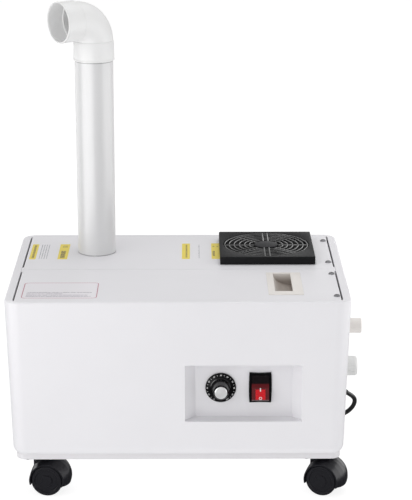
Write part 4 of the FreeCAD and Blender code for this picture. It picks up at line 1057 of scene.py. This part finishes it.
def make_plug(finish):
    """Two-pin plug on its side: ribbed boot, waisted body and round pins with sleeves."""
    deselect()
    bpy.ops.mesh.primitive_plane_add(size=2)
    plug = bpy.context.object
    half_y, half_z, reach = 3.3, 3.3, 0.0
    plug.scale = (half_y * MM, half_z * MM, 1)
    fix()
    edit()
    bpy.ops.mesh.select_all(action="SELECT")
    bpy.ops.mesh.bevel(offset=2.1 * MM, segments=5, affect="VERTICES")
    stations = []
    for rib in range(4):
        root = 0.6 + 3.8 * rib
        core = 3.4 + 0.3 * rib
        stations += [(core + 0.9, core + 0.9, root), (core + 0.9, core + 0.9, root + 2.4),
                     (core, core, root + 2.6), (core, core, root + 3.6)]
    for next_y, next_z, next_reach in stations + PLUG_BODY:
        step = (0, 0, (next_reach - reach) * MM)
        bpy.ops.mesh.extrude_region_move(TRANSFORM_OT_translate={"value": step})
        bpy.ops.transform.resize(value=(next_y / half_y, next_z / half_z, 1),
                                 center_override=(0, 0, next_reach * MM))
        half_y, half_z, reach = next_y, next_z, next_reach
    leave()
    pins = []
    for side in (-PIN_SIDE, PIN_SIDE):
        deselect()
        bpy.ops.mesh.primitive_circle_add(vertices=28, radius=PIN_R * MM, fill_type="NGON",
                                          location=(side * MM, 0, PIN_FOOT * MM))
        pins.append(bpy.context.object)
        fix()
        edit()
        bpy.ops.mesh.select_all(action="SELECT")
        draw_out(PIN_PROFILE, (PIN_R, PIN_FOOT), UP, (side, 0, 0))
        leave()
    plug = joined([plug] + pins)
    lie = Matrix(((0, 0, 1), (1, 0, 0), (0, 1, 0))).to_4x4()
    plug.matrix_world = (Matrix.Translation(Vector(TAIL_ROUTE[-1]) * MM)
                         @ Matrix.Rotation(math.radians(PLUG_YAW), 4, "Z") @ lie)
    settle(plug, "mains_plug", finish)
    tidy_normals(plug)
    smooth(plug, 40)
    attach(plug, "root")
    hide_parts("plug")
    return plug


def plug_finish():
    """Black plug plastic; beyond the sleeves the pins are nickelled brass."""
    paint = Paint("plug_finish")
    yaw = math.radians(PLUG_YAW)
    x, y, _ = paint.axes(Vector(TAIL_ROUTE[-1]) * MM)
    along = x * math.cos(yaw) + y * math.sin(yaw)
    bare = along > SLEEVE_END + 0.05
    skin = paint.noise(600.0)
    tone = paint.blend(bare, (0.014, 0.014, 0.015, 1), (0.68, 0.66, 0.60, 1))
    return paint.dress(Base_Color=tone, Metallic=bare * 1.0, Roughness=0.42 - bare * 0.14,
                       Normal=paint.bump(skin, 0.00006))


def make_lead():
    """The cord with its tie and plug."""
    cord = make_cord(cord_sheath())
    tie = make_tie(moulded("tie_nylon", (0.02, 0.02, 0.022), 0.6, 0.1, 0.00015, 1200.0))
    plug = make_plug(plug_finish())


# ---------------------------------------------------------------- studio
FLOOR_GLOW = 0.84
WORLD_GLOW = 0.54
DARK_GLOW = 0.05
# name, azimuth in degrees, distance, height, width, tallness (metres), glow
SOFTBOXES = [
    ("softbox_left", -43, 1.9, 0.95, 2.4, 2.0, 0.94),
    ("softbox_right", 76, 1.9, 0.80, 1.5, 1.8, 0.62),
    ("softbox_above", 150, 0.5, 2.4, 1.8, 1.8, 1.54),
]
# name, azimuth, width, glow: bright cards round the pipe that show only in reflections
CARDS = [
    ("card_left", -42, 1.09, 3.7),
    ("card_right", 85, 0.95, 2.2),
    ("card_back_left", -128, 0.80, 1.2),
    ("card_back_right", 138, 0.60, 0.9),
]
CARD_DISTANCE = 0.75
CARD_HEIGHT = 0.24
CARD_TALL = 0.48


def make_floor():
    """Wide floor that is left out of reflections."""
    deselect()
    bpy.ops.mesh.primitive_plane_add(size=24, location=(0, 4, 0))
    floor = bpy.context.object
    settle(floor, "studio_floor", floor_finish())
    floor.visible_glossy = False


def softbox(name, azimuth, distance, height, wide, tall, glow, aim=(0, 0, 0.25)):
    """Rectangular light of an even glow; azimuth 0 is in front of its aim and 90 to the right."""
    turn = math.radians(azimuth)
    place = Vector((aim[0] + distance * math.sin(turn), aim[1] - distance * math.cos(turn), height))
    data = bpy.data.lights.new(name, "AREA")
    data.shape = "RECTANGLE"
    data.size = wide
    data.size_y = tall
    data.energy = glow * math.pi * wide * tall
    light = bpy.data.objects.new(name, data)
    bpy.context.scene.collection.objects.link(light)
    light.location = place
    light.rotation_mode = "QUATERNION"
    light.rotation_quaternion = (Vector(aim) - place).to_track_quat("-Z", "Y")
    light.visible_camera = False
    return light


def studio_world():
    """Even white above the horizon, nearly dark below it, and plain white behind the object."""
    world = bpy.data.worlds.new("studio_world")
    paint = Paint("studio_world", world)
    way = paint.node("TexCoord", output="Generated")
    above = paint.node("SeparateXYZ", None, {0: way}, 2) > 0.0
    seen = paint.node("LightPath", output="Is Camera Ray")
    glow = DARK_GLOW + above * (WORLD_GLOW - DARK_GLOW)
    paint.dress(Color=(1, 1, 1, 1), Strength=glow * (1 - seen) + seen)
    return world


def make_studio():
    """Floor, three soft lights, the cards and the white surroundings."""
    make_floor()
    for light in SOFTBOXES:
        softbox(*light)
    pipe = (OUTLET[0] * MM, OUTLET[1] * MM, CARD_HEIGHT)
    for name, azimuth, wide, glow in CARDS:
        card = softbox(name, azimuth, CARD_DISTANCE, CARD_HEIGHT, wide, CARD_TALL, glow, pipe)
        card.visible_diffuse = False
    bpy.context.scene.world = studio_world()
    bpy.context.scene.view_settings.view_transform = "Standard"


# ---------------------------------------------------------------- make it all
set_camera()
make_lead()
dress_nodes()
make_elbow(elbow_white())
make_grille(grille_black())
make_pull(pull_ivory())
make_labels()
ink = white_ink("white_ink")
make_dial_scale(ink)
make_switch_marks(ink)
make_studio()
